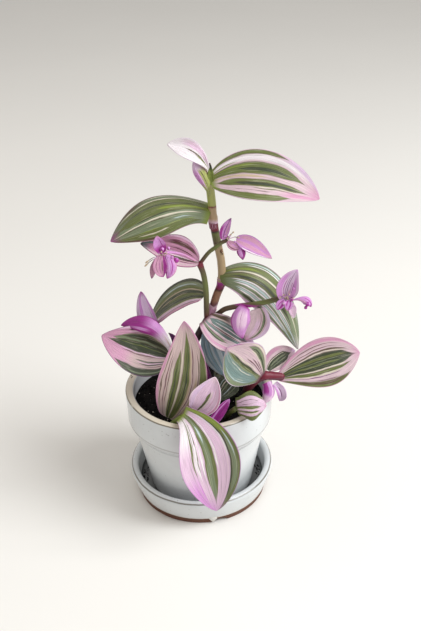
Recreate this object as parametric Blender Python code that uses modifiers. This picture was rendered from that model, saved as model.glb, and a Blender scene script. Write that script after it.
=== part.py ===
"""Potted tradescantia: a variegated trailing plant in a small glazed pot on its saucer.

Everything is in metres with +Z up. The origin is the middle of the saucer's underside, and -Y is
the front. The table values are millimetres.
"""

from dataclasses import dataclass

import bmesh
import bpy
import numpy as np

OBJECT_NAME = "potted_tradescantia"
MM = 0.001
GAP = 0.3                # clearance between neighbouring pieces
TURN_STEPS = 48          # facets round a turned piece
MERGE = 0.00001          # merge distance in metres

# Pot
POT_RIM_RADIUS = 45.0
POT_TOP = 76.0
POT_WALL = 5.0
POT_COLLAR_RADIUS = 44.5
POT_COLLAR_BOTTOM = 57.0
POT_BODY_TOP = 49.0
POT_BODY_TOP_RADIUS = 40.3
POT_BASE_RADIUS = 32.5
POT_FLOOR = 5.0
DRAIN_RADIUS = 5.0
LIP_ROUND = 1.2          # radius of the lip's outer edge
LIP_SLOPE = 2.0          # width of the slope on the lip's inner edge
FOOT_ROUND = 1.5         # radius of the edge that the pot stands on
CORNER = 2.0             # bevel between a wall and its floor

# Saucer
SAUCER_RIM_RADIUS = 45.3
SAUCER_BASE_RADIUS = 40.7
SAUCER_HEIGHT = 19.0
SAUCER_WALL = 5.0
SAUCER_FLOOR = 5.0
CLAY_FOOT_HEIGHT = 3.6   # unglazed band at the foot
GLAZE_STEP = 0.8         # how far the glaze stands out over the clay foot
NOTCH_WIDTH = 10.0
NOTCH_HEIGHT = 2.4
NOTCH_X = 11.0
NOTCH_DEPTH = 8.0        # how far the notch runs in from the foot's edge

# Soil
SOIL_TOP = 66.0
SOIL_MOUND = 2.0
SOIL_GAP = 0.4           # clearance between the soil and the pot's wall
STEM_BORE_TOP = SOIL_TOP + 12

# Leaves
LEAF_THICKNESS = 0.8
LEAF_COLUMNS = 4
LEAF_ROWS = 8
PETAL_THICKNESS = 0.7
PETAL_COLUMNS = 2
PETAL_ROWS = 5
LEAF_FULLNESS = 0.72     # under 1 keeps the blade broad towards its ends
TIP_WIDTH = 0.06         # width left at a leaf's tip, as a share of its full width

# Stems
KNOT_BULGE = 0.22        # extra radius at a knot, as a share of the stem's
KNOT_LENGTH = 2.5

GLAZE = (0.72, 0.72, 0.70)
SOIL_COLOUR = (0.03, 0.022, 0.018)
OLIVE = (0.24, 0.33, 0.14)
PINK = (0.72, 0.42, 0.55)
MAGENTA = (0.52, 0.10, 0.42)
TEAL = (0.22, 0.36, 0.34)
LILAC = (0.72, 0.45, 0.72)
STEM_BROWN = (0.30, 0.20, 0.12)
CREAM = (0.75, 0.66, 0.42)

POT_BASE = SAUCER_FLOOR + GAP
FRONT = (0.0, -0.86, 0.51)    # forwards and up


@dataclass
class Leaf:
    """A leaf blade on a curved midrib through base, mid and tip; face is the way its top looks."""
    name: str
    base: tuple
    mid: tuple
    tip: tuple
    width: float
    face: tuple = FRONT
    cup: float = 0.5         # half angle of the cross-section's arc, edges up
    fold: float = 0.0        # angle that each half folds up about the midrib
    twist: float = 0.0       # turn of the face from base to tip
    widest: float = 0.45     # place of the widest point along the midrib
    foot: float = 0.3        # width at the base, as a share of the full width
    colour: tuple = OLIVE
    petal: bool = False


def leaf_half_width(leaf, v):
    """Half width along the blade: a rounded lens with a clasping foot and a drawn-out tip."""
    lens = np.sin(np.pi * v ** (np.log(0.5) / np.log(leaf.widest))) ** LEAF_FULLNESS
    foot = leaf.foot * (1.0 - v) ** 4
    return 0.5 * leaf.width * np.maximum(lens + foot * (1.0 - lens), TIP_WIDTH)


def leaf_points(leaf, u, v):
    """Points on the blade's middle surface, u from -1 to 1 across and v from 0 to 1 along."""
    u, v = np.broadcast_arrays(np.asarray(u, float), np.asarray(v, float))
    base, mid, tip = (np.array(point, float) for point in (leaf.base, leaf.mid, leaf.tip))
    bow = 2.0 * mid - 0.5 * (base + tip)
    t = v[..., None]
    centre = (1 - t) ** 2 * base + 2 * t * (1 - t) * bow + t ** 2 * tip
    along = 2 * (1 - t) * (bow - base) + 2 * t * (tip - bow)
    along /= np.linalg.norm(along, axis=-1, keepdims=True)
    face = np.array(leaf.face, float)
    up = face - np.sum(face * along, axis=-1, keepdims=True) * along
    up /= np.linalg.norm(up, axis=-1, keepdims=True)
    side = np.cross(along, up)
    turn = (leaf.twist * (v - 0.5))[..., None]
    side, up = side * np.cos(turn) + up * np.sin(turn), up * np.cos(turn) - side * np.sin(turn)
    half = leaf_half_width(leaf, v)
    arc = leaf.cup * u
    across = half * np.sin(arc) / leaf.cup
    rise = half * (1.0 - np.cos(arc)) / leaf.cup
    bend = np.sqrt(u ** 2 + 0.01) - 0.1
    across, rise = across * np.cos(leaf.fold), rise + half * bend * np.sin(leaf.fold)
    return centre + side * across[..., None] + up * rise[..., None]


LEAVES = (
    Leaf("top_bud_leaf", (7.6, -2.8, 202.5), (-1, -4, 222), (-12, -3, 230), 14,
         face=(0.1, -0.8, 0.6), cup=0.9, widest=0.6, foot=0.3, colour=PINK),
    Leaf("top_right_leaf", (12.6, -1.5, 207), (39, -5, 213), (68, -8, 200), 29,
         face=(0.0, -0.75, 0.66), cup=0.45, foot=0.3, colour=OLIVE),
    Leaf("upper_left_leaf", (7.6, -3, 191), (-19, -6, 195), (-45, -10, 180), 28,
         face=(-0.1, -0.6, 0.8), cup=-0.3, fold=-0.35, foot=0.6, colour=OLIVE),
    Leaf("middle_right_leaf", (18, -3, 154), (42, -6, 145), (59, -8, 106), 25,
         face=(0.2, -0.75, 0.65), cup=-0.3, fold=-0.35, foot=0.5, colour=OLIVE),
    Leaf("back_left_leaf", (4.4, -4.5, 141), (-12, 10, 130), (-36, 25, 97), 19,
         face=(-0.1, -0.35, 0.93), cup=0.3, foot=0.3, colour=OLIVE),
    Leaf("left_branch_leaf", (1.6, -8.3, 163.9), (-12, -9, 170), (-29, -9, 177), 22,
         face=(-0.1, -0.6, 0.8), cup=0.3, fold=0.7, foot=0.2, colour=PINK),
    Leaf("center_hanging_leaf", (6, -9, 127), (18, -13, 121), (35, -17, 110), 18,
         face=(0.1, -0.7, 0.7), cup=0.6, foot=0.5, colour=TEAL),
    Leaf("center_round_leaf", (34.5, -13, 136), (33, -15, 127), (28, -17, 119), 14,
         cup=0.5, foot=0.5, colour=PINK),
    Leaf("center_bract", (28, -14.5, 138.5), (25, -19, 131), (26, -20, 121), 12,
         cup=-0.9, foot=0.5, colour=LILAC),
    Leaf("blue_green_leaf", (6, -5, 117), (10, -9, 103), (17, -13, 90), 13,
         face=(0.1, -0.86, 0.5), cup=-0.4, colour=TEAL),
    Leaf("right_round_leaf", (37, -19.4, 94), (27, -23, 105), (17, -24, 117), 28,
         face=(0.0, -0.86, 0.5), cup=0.3, foot=0.3, widest=0.5, colour=TEAL),
    Leaf("right_small_leaf", (41, -14, 94.6), (48, -9, 100), (58, -5, 102), 13,
         cup=0.4, colour=PINK),
    Leaf("right_large_leaf", (50.6, -16, 90), (72, -15, 99), (95, -12, 104), 29,
         face=(0.0, -0.86, 0.5), cup=0.4, widest=0.52, foot=0.15, colour=OLIVE),
    Leaf("right_under_leaf", (40, -19.5, 89.5), (41, -23, 84), (38, -24, 78), 8,
         cup=-1.0, foot=0.8, colour=MAGENTA),
    Leaf("right_curl_leaf", (45.5, -19, 88.5), (49, -20, 82), (48, -18, 75), 6,
         cup=0.9, foot=0.6, colour=LILAC),
    Leaf("front_round_leaf", (22, -34, 82), (30, -38, 86), (39, -36, 86), 18,
         cup=-0.4, foot=0.5, widest=0.5, colour=PINK),
    Leaf("tall_front_leaf", (-16, -23, 69), (-9, -27, 102), (-7, -23, 135), 29,
         cup=0.4, foot=0.35, widest=0.42, colour=PINK),
    Leaf("left_large_leaf", (-17.5, -3.6, 101.3), (-35, -8, 109), (-55, -10, 119), 28,
         face=(-0.1, -0.8, 0.6), cup=0.4, foot=0.2, colour=OLIVE),
    Leaf("magenta_upright_leaf", (-20, 4, 101), (-29, 6, 121.5), (-32, 6, 138.5), 11,
         cup=-0.5, foot=0.4, colour=LILAC),
    Leaf("magenta_side_leaf", (-16, -0.4, 101), (-26, 0.5, 116.5), (-43, 1.5, 119.5), 11,
         cup=-0.9, foot=0.3, colour=MAGENTA),
    Leaf("dark_left_leaf", (-14, 2.6, 98.5), (-13.5, 3.6, 105.5), (-17, 3.6, 111), 4,
         cup=0.4, colour=MAGENTA),
    Leaf("front_hanging_leaf", (-5.5, -39.4, 78.9), (4, -52, 66), (9, -54, 23), 36,
         face=(0.1, -0.8, 0.5), cup=0.5, foot=0.2, widest=0.5, colour=OLIVE),
    Leaf("front_cupped_leaf", (-1.8, -36.2, 82.9), (5, -36, 92), (10, -32, 103), 18,
         cup=0.7, foot=0.5, colour=PINK),
    Leaf("magenta_strip_leaf", (4, -34, 67.4), (12, -31, 77), (18, -26, 83), 6,
         cup=0.6, foot=0.6, colour=MAGENTA),
    Leaf("magenta_inner_leaf", (8, -11, 68.6), (6, -11, 83), (4, -8, 100), 6,
         cup=0.6, colour=MAGENTA),
    Leaf("shadow_leaf_low", (22, -7.8, 85), (17, -13, 83), (10, -20, 77), 14,
         cup=0.4, colour=OLIVE),
    Leaf("shadow_leaf_high", (19.5, -5, 88), (14, -7, 88), (10, -8, 86), 12,
         cup=0.4, colour=TEAL),
)

PETALS = (
    Leaf("flower_1_upper_petal", (-16, -21.5, 178), (-18, -22, 182.5), (-18, -21, 186), 6,
         colour=MAGENTA, petal=True),
    Leaf("flower_1_lower_petal", (-17.5, -22.5, 174.5), (-19, -25, 171), (-19, -26, 166), 6,
         colour=PINK, petal=True),
    Leaf("flower_1_bud", (-14.8, -22.2, 175), (-13, -24, 170), (-13, -25, 165), 6, cup=-1.0,
         colour=LILAC, petal=True),
    Leaf("flower_1_small_petal", (-20.5, -22, 174.5), (-22, -24, 169), (-23, -25, 165), 3,
         cup=0.4, colour=LILAC, petal=True),
    Leaf("flower_2_upper_bract", (17, -11.5, 181.5), (18, -12, 187), (21, -12, 192), 6, cup=0.6,
         colour=MAGENTA, petal=True),
    Leaf("flower_2_long_bract", (25, -12, 178), (33, -13, 176), (42, -14, 169), 8, cup=0.5,
         colour=PINK, petal=True),
    Leaf("flower_2_lower_bract", (20.3, -12, 178.6), (22, -13, 177), (24.5, -14, 175), 4,
         cup=0.6, colour=PINK, petal=True),
    Leaf("flower_2_bud", (25.2, -13.8, 174.6), (26, -15, 172), (26, -15, 169), 5, cup=-1.0,
         colour=MAGENTA, petal=True),
    Leaf("flower_3_tall_bract", (52.5, -17, 148.5), (53, -18, 156), (56, -18, 163), 13, cup=0.6,
         colour=PINK, petal=True),
    Leaf("flower_3_left_petal", (48.7, -19, 144.5), (47, -20, 142.7), (45, -21, 140), 5,
         colour=MAGENTA, petal=True),
    Leaf("flower_3_right_petal", (52.6, -18.8, 144.3), (52, -21, 143), (52.5, -22, 140), 5,
         colour=MAGENTA, petal=True),
    Leaf("flower_3_small_bract", (53.2, -18.2, 143.4), (54.5, -18.5, 139), (55.5, -19, 134), 4,
         colour=PINK, petal=True),
    Leaf("flower_3_side_bud", (54, -17, 145), (59, -17, 143), (64, -17, 139), 4, cup=-1.0,
         colour=LILAC, petal=True),
)

FLOWER_CENTERS = (
    ("flower_1_center", (-16.5, -21, 175.8), 1.5),
    ("flower_2_center", (19, -11, 179.8), 1.1),
    ("flower_3_center", (50.8, -17.3, 146.1), 1.5),
)


@dataclass
class Stem:
    """A stem through the points of its route, swollen at those numbered in knots."""
    name: str
    route: tuple
    radius: float
    knots: tuple = ()
    colour: tuple = STEM_BROWN
    planted: bool = False


STEMS = (
    Stem("main_stem", ((-12, 4, 54), (-12, 4, 66), (-9, 2, 88), (-4, -1, 102), (2, -2, 115),
                       (8, -1, 126), (12, 0, 138), (15, 0, 147), (15, 0, 160), (13, 0, 172),
                       (11, 0, 186), (10.5, 0, 196), (9.5, 0, 207)), 2.3, knots=(5, 7, 10),
         planted=True),
    Stem("left_branch", ((6.0, -4.6, 126.3), (6, -5.6, 128), (6, -6, 132), (6, -6.5, 145),
                         (5, -7, 155), (3, -8, 163)), 1.6, knots=(5,)),
    Stem("left_flower_stalk", ((3.8, -8.3, 164.3), (8, -9.5, 170.5), (12, -10, 174),
                               (15, -10, 176.5), (18, -10, 178)), 1.1),
    Stem("right_branch", ((11.5, -3.4, 126.8), (13, -4.2, 128.5), (17, -7, 133), (25, -11, 137),
                          (33, -13, 139), (42, -15, 142), (48.7, -16.2, 145.2)), 1.5),
    Stem("flower_1_stalk", ((0.5, -10.5, 166.4), (-6, -12, 171), (-12, -15, 174),
                            (-15.6, -19.1, 175.6)), 0.7),
    Stem("left_shoot", ((-18, 2, 54), (-18, 2, 66), (-18, 1, 85), (-17, 0, 99)), 2.0,
         planted=True),
    Stem("front_shoot", ((-17, -30, 54), (-17, -30, 66), (-15, -32, 71), (-11, -34.5, 76),
                         (-8, -35.8, 78.6), (-4, -36.3, 80.4)), 1.8, planted=True),
    Stem("front_right_shoot", ((16, -24, 54), (16, -24, 66), (18, -29, 75),
                               (21.2, -33.2, 81.2)), 1.5, planted=True),
    Stem("inner_shoot", ((18, -2, 54), (18, -2, 66), (20, -3, 76), (22, -5, 85)), 1.8,
         planted=True),
    Stem("right_shoot", ((25, -10, 54), (25, -10, 66), (28, -13, 78), (32, -16, 87),
                         (38, -17, 92.5), (44, -16.5, 92), (49, -16, 91)), 2.2, planted=True),
)


def smooth_route(route, spacing=5.0):
    """Catmull-Rom curve through the route's points; gives points and where the knots fall."""
    route = np.array(route, float)
    ends = np.vstack([2 * route[0] - route[1], route, 2 * route[-1] - route[-2]])
    points, marks = [route[0]], [0]
    for a, b, c, d in zip(ends, ends[1:], ends[2:], ends[3:]):
        pieces = max(2, round(np.linalg.norm(c - b) / spacing))
        for t in np.arange(1, pieces + 1) / pieces:
            points.append(0.5 * (2 * b + (c - a) * t + (2 * a - 5 * b + 4 * c - d) * t ** 2
                                 + (3 * b - a - 3 * c + d) * t ** 3))
        marks.append(len(points) - 1)
    return np.array(points), marks


def knot_swelling(points, marks, knots):
    """Radius factor at each point: a short bulge round every knot."""
    distance = np.concatenate([[0], np.cumsum(np.linalg.norm(np.diff(points, axis=0), axis=1))])
    factor = np.ones(len(points))
    for knot in knots:
        factor += KNOT_BULGE * np.exp(-((distance - distance[marks[knot]]) / KNOT_LENGTH) ** 2)
    return factor


def clear_objects():
    for item in list(bpy.data.objects):
        bpy.data.objects.remove(item, do_unlink=True)


def new_collection(name):
    collection = bpy.data.collections.new(name)
    bpy.context.scene.collection.children.link(collection)
    return collection


def make_material(name, colour, roughness):
    material = bpy.data.materials.new(name)
    material.use_nodes = True
    shader = material.node_tree.nodes["Principled BSDF"]
    shader.inputs["Base Color"].default_value = (*colour, 1.0)
    shader.inputs["Roughness"].default_value = roughness
    shader.inputs["Metallic"].default_value = 0.0
    return material


def add_object(name, data, collection, colour, roughness, location=(0, 0, 0)):
    item = bpy.data.objects.new(name, data)
    item.location = [MM * value for value in location]
    item.data.materials.append(make_material(name, colour, roughness))
    collection.objects.link(item)
    return item


def arc(centre, radius, start, end, pieces=3):
    """Points (radius, height) along a round corner, angles in degrees from +X."""
    angles = np.radians(np.linspace(start, end, pieces + 1))
    return [(centre[0] + radius * np.cos(a), centre[1] + radius * np.sin(a)) for a in angles]


def turned_piece(name, profile, collection, colour, roughness, closed):
    """A profile of (radius, height) turned about Z; closed joins its last point to its first."""
    mesh = bpy.data.meshes.new(name)
    edges = [(i, i + 1) for i in range(len(profile) - 1)]
    if closed:
        edges.append((len(profile) - 1, 0))
    mesh.from_pydata([(MM * r, 0, MM * z) for r, z in profile], edges, [])
    item = add_object(name, mesh, collection, colour, roughness)
    screw = item.modifiers.new("Turn", "SCREW")
    screw.steps = screw.render_steps = TURN_STEPS
    screw.use_merge_vertices = True
    screw.merge_threshold = MERGE
    return item


def make_pot(parts):
    """The pot: a tall collar over a tapered body, with a drain hole in its floor."""
    step = [(POT_BODY_TOP_RADIUS + (POT_COLLAR_RADIUS - POT_BODY_TOP_RADIUS) * (3 - 2 * t) * t * t,
             POT_BODY_TOP + (POT_COLLAR_BOTTOM - POT_BODY_TOP) * t) for t in (1, 0.75, 0.5, 0.25, 0)]
    floor = POT_BASE + POT_FLOOR
    lip = POT_RIM_RADIUS - POT_WALL
    profile = [
        *arc((POT_RIM_RADIUS - LIP_ROUND, POT_TOP - LIP_ROUND), LIP_ROUND, 90, 0),
        *step,
        *arc((POT_BASE_RADIUS - FOOT_ROUND, POT_BASE + FOOT_ROUND), FOOT_ROUND, 0, -90),
        (DRAIN_RADIUS, POT_BASE),
        (DRAIN_RADIUS, floor),
        (POT_BASE_RADIUS - POT_WALL - CORNER, floor),
        (POT_BASE_RADIUS - POT_WALL, floor + CORNER),
        (POT_BODY_TOP_RADIUS - POT_WALL, POT_BODY_TOP),
        (lip, POT_COLLAR_BOTTOM + CORNER),
        (lip, POT_TOP - LIP_SLOPE),
        (lip + LIP_SLOPE / 2, POT_TOP - LIP_SLOPE / 7),
        (lip + LIP_SLOPE, POT_TOP),
    ]
    return turned_piece("pot", profile, parts, GLAZE, 0.25, closed=True)


def make_saucer(parts, cutters):
    """The saucer: a glazed dish with a bare clay foot, notched at the front."""
    inner = SAUCER_RIM_RADIUS - SAUCER_WALL
    edge = SAUCER_WALL / 2
    profile = [
        (0, SAUCER_FLOOR),
        (inner - 1.4 * CORNER, SAUCER_FLOOR),
        (inner - 0.65 * CORNER, SAUCER_FLOOR + 0.8 * CORNER),
        (inner, SAUCER_HEIGHT - edge),
        *arc((SAUCER_RIM_RADIUS - edge, SAUCER_HEIGHT - edge), edge, 180, 0, pieces=6),
        (SAUCER_BASE_RADIUS + GLAZE_STEP, CLAY_FOOT_HEIGHT + GLAZE_STEP),
        (SAUCER_BASE_RADIUS, CLAY_FOOT_HEIGHT),
        (SAUCER_BASE_RADIUS, 0),
        (0, 0),
    ]
    saucer = turned_piece("saucer", profile, parts, GLAZE, 0.25, closed=False)
    turn = np.arcsin(NOTCH_X / SAUCER_BASE_RADIUS)
    bpy.ops.mesh.primitive_cylinder_add(
        vertices=24, radius=MM * NOTCH_WIDTH / 2, depth=2 * MM * NOTCH_DEPTH,
        location=(MM * NOTCH_X, -MM * SAUCER_BASE_RADIUS * np.cos(turn), 0),
        rotation=(np.pi / 2, 0, turn))
    notch = bpy.context.object
    notch.name = "notch_cutter"
    notch.scale = (1, NOTCH_HEIGHT / (NOTCH_WIDTH / 2), 1)
    cut(saucer, notch, cutters)
    return saucer


def cut(item, cutter, cutters):
    """Cut item with cutter, which is kept apart, hidden from renders and shown as a wire."""
    for collection in list(cutter.users_collection):
        collection.objects.unlink(cutter)
    cutters.objects.link(cutter)
    cutter.hide_render = True
    cutter.display_type = "WIRE"
    boolean = item.modifiers.new("Cut", "BOOLEAN")
    boolean.operation = "DIFFERENCE"
    boolean.object = cutter


def make_tube(name, points, radius, factors, collection, colour, roughness=0.45):
    """A round tube through points, its radius scaled by a factor at each."""
    curve = bpy.data.curves.new(name, "CURVE")
    curve.dimensions = "3D"
    curve.bevel_depth = MM * radius
    curve.bevel_resolution = 2
    curve.use_fill_caps = True
    spline = curve.splines.new("POLY")
    spline.points.add(len(points) - 1)
    for knob, point, factor in zip(spline.points, points, factors):
        knob.co = (*(MM * (point - points[0])), 1.0)
        knob.radius = factor
    return add_object(name, curve, collection, colour, roughness, points[0])


def as_mesh(item, collection):
    """A mesh object with the shape of a tube, its end caps welded on."""
    depsgraph = bpy.context.evaluated_depsgraph_get()
    mesh = bpy.data.meshes.new_from_object(item.evaluated_get(depsgraph))
    weld = bmesh.new()
    weld.from_mesh(mesh)
    bmesh.ops.remove_doubles(weld, verts=weld.verts, dist=MERGE)
    weld.to_mesh(mesh)
    weld.free()
    solid = bpy.data.objects.new(item.name + "_solid", mesh)
    solid.matrix_world = item.matrix_world
    collection.objects.link(solid)
    bpy.data.objects.remove(item, do_unlink=True)
    return solid


def make_stem(stem, parts):
    points, marks = smooth_route(stem.route)
    factors = knot_swelling(points, marks, stem.knots)
    return make_tube(stem.name, points, stem.radius, factors, parts, stem.colour)


def make_soil(parts, cutters):
    """Potting soil heaped a little in the middle, with a hole for each planted stem."""
    lip = POT_RIM_RADIUS - POT_WALL - SOIL_GAP
    base = POT_BASE_RADIUS - POT_WALL - SOIL_GAP
    bottom = POT_BASE + POT_FLOOR + GAP
    profile = [
        (0, SOIL_TOP + SOIL_MOUND),
        (lip * 0.45, SOIL_TOP + 0.8 * SOIL_MOUND),
        (lip * 0.8, SOIL_TOP + 0.3 * SOIL_MOUND),
        (lip, SOIL_TOP - SOIL_MOUND / 2),
        (lip, POT_COLLAR_BOTTOM + CORNER),
        (POT_BODY_TOP_RADIUS - POT_WALL - SOIL_GAP, POT_BODY_TOP),
        (base, bottom + CORNER),
        (base - CORNER, bottom),
        (0, bottom),
    ]
    soil = turned_piece("potting_soil", profile, parts, SOIL_COLOUR, 0.95, closed=False)
    for stem in STEMS:
        if stem.planted:
            points, _ = smooth_route(stem.route)
            buried = points[points[:, 2] < STEM_BORE_TOP]
            buried[0, 2] -= GAP
            bore = make_tube(stem.name + "_bore", buried, stem.radius + GAP,
                             np.ones(len(buried)), cutters, stem.colour)
            bpy.context.view_layer.update()
            cut(soil, as_mesh(bore, cutters), cutters)
    return soil


def make_leaf(leaf, parts):
    """A blade bent out of a flat grid and thickened."""
    columns, rows = (PETAL_COLUMNS, PETAL_ROWS) if leaf.petal else (LEAF_COLUMNS, LEAF_ROWS)
    bpy.ops.mesh.primitive_grid_add(x_subdivisions=columns, y_subdivisions=rows, size=2)
    item = bpy.context.object
    item.name = item.data.name = leaf.name
    for collection in list(item.users_collection):
        collection.objects.unlink(item)
    parts.objects.link(item)
    flat = np.array([vertex.co for vertex in item.data.vertices])
    shaped = MM * (leaf_points(leaf, flat[:, 0], (flat[:, 1] + 1) / 2) - np.array(leaf.base))
    for vertex, place in zip(item.data.vertices, shaped):
        vertex.co = place
    item.location = [MM * value for value in leaf.base]
    item.data.materials.append(make_material(leaf.name, leaf.colour, 0.4))
    item.data.shade_smooth()
    solidify = item.modifiers.new("Thickness", "SOLIDIFY")
    solidify.thickness = MM * (PETAL_THICKNESS if leaf.petal else LEAF_THICKNESS)
    solidify.offset = 0
    return item


def make_flower_center(name, place, radius, parts):
    """The small round middle of a flower, where its petals meet."""
    bpy.ops.mesh.primitive_uv_sphere_add(segments=12, ring_count=8, radius=MM * radius,
                                         location=[MM * value for value in place])
    item = bpy.context.object
    item.name = item.data.name = name
    for collection in list(item.users_collection):
        collection.objects.unlink(item)
    parts.objects.link(item)
    item.data.materials.append(make_material(name, CREAM, 0.5))
    return item


def main():
    clear_objects()
    parts = new_collection(OBJECT_NAME)
    cutters = new_collection("cutters")
    make_pot(parts)
    make_saucer(parts, cutters)
    make_soil(parts, cutters)
    for stem in STEMS:
        make_stem(stem, parts)
    for leaf in LEAVES + PETALS:
        make_leaf(leaf, parts)
    for name, place, radius in FLOWER_CENTERS:
        make_flower_center(name, place, radius, parts)


if __name__ == "__main__":
    main()
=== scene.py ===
"""Looks of the potted tradescantia: its leaves, stems, flowers, soil, glazed pot and saucer.

Sizes are in millimetres, in the frame of the construction: +Z up, -Y to the front, and the origin
under the middle of the saucer.
"""
from dataclasses import dataclass

import bpy
import numpy as np
from bpy.props import FloatProperty, FloatVectorProperty, IntProperty, PointerProperty
from mathutils import Euler, Matrix, Vector, noise


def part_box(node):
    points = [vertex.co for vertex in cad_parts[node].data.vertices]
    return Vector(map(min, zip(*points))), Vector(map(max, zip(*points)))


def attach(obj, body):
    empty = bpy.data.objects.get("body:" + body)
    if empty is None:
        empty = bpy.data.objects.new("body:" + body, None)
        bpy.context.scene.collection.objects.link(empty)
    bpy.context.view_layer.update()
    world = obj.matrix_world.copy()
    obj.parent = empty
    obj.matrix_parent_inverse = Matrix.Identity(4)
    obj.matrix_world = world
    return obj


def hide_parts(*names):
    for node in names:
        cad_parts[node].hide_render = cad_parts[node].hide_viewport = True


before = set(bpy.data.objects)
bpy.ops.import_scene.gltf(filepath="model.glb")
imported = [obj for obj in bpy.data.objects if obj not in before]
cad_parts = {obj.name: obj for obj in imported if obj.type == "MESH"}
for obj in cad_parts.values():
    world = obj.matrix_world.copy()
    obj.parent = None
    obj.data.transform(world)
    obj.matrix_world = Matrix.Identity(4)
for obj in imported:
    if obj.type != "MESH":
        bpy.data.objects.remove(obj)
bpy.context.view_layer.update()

bl_info = {
    "name": "Potted tradescantia",
    "version": (1, 0, 0),
    "blender": (4, 5, 0),
    "location": "View3D > Sidebar > Plant",
    "description": "Models a striped pink and green tradescantia in a glazed pot",
    "category": "Object",
}

MM = 0.001


# Settings

def srgb(red, green, blue):
    """A scene-linear colour from 0 to 255 display values."""
    return tuple(((c / 255 + 0.055) / 1.055) ** 2.4 for c in (red, green, blue))


def tint(name, use, red, green, blue):
    """A colour setting."""
    return FloatVectorProperty(name=name, description=use, default=srgb(red, green, blue),
                               subtype="COLOR", size=3, min=0, max=1)


def length(name, use, value):
    """A size in metres, given in millimetres."""
    return FloatProperty(name=name, description=use, default=value * MM, min=0,
                         subtype="DISTANCE", unit="LENGTH")


class PlantColours(bpy.types.PropertyGroup):
    """Colours of the living parts."""
    olive: tint("Olive", "Green of the wide bands", 98, 108, 52)
    deep: tint("Deep green", "Darkest bands of old leaves", 50, 60, 36)
    spring: tint("Spring green", "Bands near the stem on young leaves", 128, 144, 54)
    grey_green: tint("Grey green", "Dull bands of the older leaves", 118, 130, 98)
    teal: tint("Teal", "Shaded blue-green bands", 110, 134, 130)
    # Painted reflection: this colour paints the blue sheen of the sky reflected on the shaded leaf.
    sky: tint("Sky", "Blue sheen of the shaded leaf", 140, 176, 188)
    # Painted highlight: this colour paints the silvery blue gloss that light leaves on the green bands.
    frost: tint("Frost", "Silvery blue highlights in the green", 186, 202, 202)
    cream: tint("Cream", "Thin lines beside the green", 218, 208, 188)
    beige: tint("Beige", "Dry-looking pale bands", 192, 170, 142)
    white: tint("White", "Palest bands", 236, 226, 230)
    pink: tint("Pink", "Wide pale bands", 214, 186, 194)
    dusty: tint("Dusty pink", "Greyer pink of the older leaves", 204, 178, 176)
    rose: tint("Rose", "Deeper pink bands", 206, 148, 178)
    lavender: tint("Lavender", "Cool pink margins", 220, 190, 220)
    lilac: tint("Lilac", "Thin bracts and bud leaves", 206, 140, 204)
    magenta: tint("Magenta", "Leaf tips and petals", 158, 30, 138)
    purple: tint("Purple", "Undersides", 104, 44, 102)
    maroon: tint("Maroon", "Fine dark lines in the pink", 100, 52, 66)
    brown: tint("Brown", "Fine dark lines in the green", 88, 70, 48)
    red: tint("Red", "Stem joints", 112, 20, 44)
    # Painted shade: this dark colour is old bark and also the shade that falls on the lower stems under the
    # leaves.
    bark: tint("Old stem", "Shaded lower stems", 44, 26, 26)
    stem: tint("Stem", "Beige upper stem", 176, 152, 116)
    cane: tint("Cane", "Brown of the lower joints", 146, 106, 80)
    young: tint("Young stem", "Yellow-green of the newest growth", 166, 172, 96)
    blush: tint("Blush", "Palest pink of thin leaves", 226, 192, 216)


class PotColours(bpy.types.PropertyGroup):
    """Colours of the pot, the saucer and the soil."""
    glaze: tint("Glaze", "Cool white glaze", 214, 217, 218)
    cream_glaze: tint("Thick glaze", "Cream where the glaze is thick", 210, 198, 176)
    line: tint("Edge line", "Dark line where the glaze breaks at an edge", 88, 78, 60)
    clay: tint("Clay", "Bare clay of the saucer's foot", 104, 66, 50)
    soil: tint("Soil", "Moist potting soil", 9, 6, 5)
    perlite: tint("Perlite", "Pale grains in the soil", 190, 180, 166)


class PlantSizes(bpy.types.PropertyGroup):
    """Sizes that are finer than the construction's."""
    leaf_thickness: length("Leaf thickness", "Thickness of a leaf along its middle", 0.8)
    petal_thickness: length("Petal thickness", "Thickness of a petal along its middle", 0.6)
    ridge_height: length("Ridge height", "Height of the long ridges on a leaf", 0.12)
    rim_line: length("Edge line", "Half width of the dark line at a glazed edge", 0.5)
    crumb: length("Crumb size", "Typical size of a crumb of soil", 0.9)
    crumbs: IntProperty(name="Crumbs", description="Crumbs on the soil", default=420, min=0)
    columns: IntProperty(name="Columns", description="Faces across a leaf", default=28, min=4)
    rows: IntProperty(name="Rows", description="Faces along a leaf", default=56, min=8)


class StageSettings(bpy.types.PropertyGroup):
    """Floor, lights and camera."""
    floor: tint("Floor", "Plain pale floor", 236, 233, 228)
    lens: FloatProperty(name="Lens", description="Focal length", default=51.35, unit="CAMERA")
    distance: length("Distance", "From the camera to the middle of the plant", 526.6)
    elevation: FloatProperty(name="Elevation", description="Angle looked down at", default=0.5376,
                             subtype="ANGLE", unit="ROTATION")
    roll: FloatProperty(name="Roll", description="Lean of the camera", default=-0.02566,
                        subtype="ANGLE", unit="ROTATION")
    key: FloatProperty(name="Key light", description="Power of the window-like light",
                       default=17.0, min=0, unit="POWER")
    fill: FloatProperty(name="Fill light", description="Power of the light from the other side",
                        default=2.4, min=0, unit="POWER")


def colours():
    return bpy.context.scene.plant_colours


def pot_colours():
    return bpy.context.scene.pot_colours


def sizes():
    return bpy.context.scene.plant_sizes


# Material tree

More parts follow.
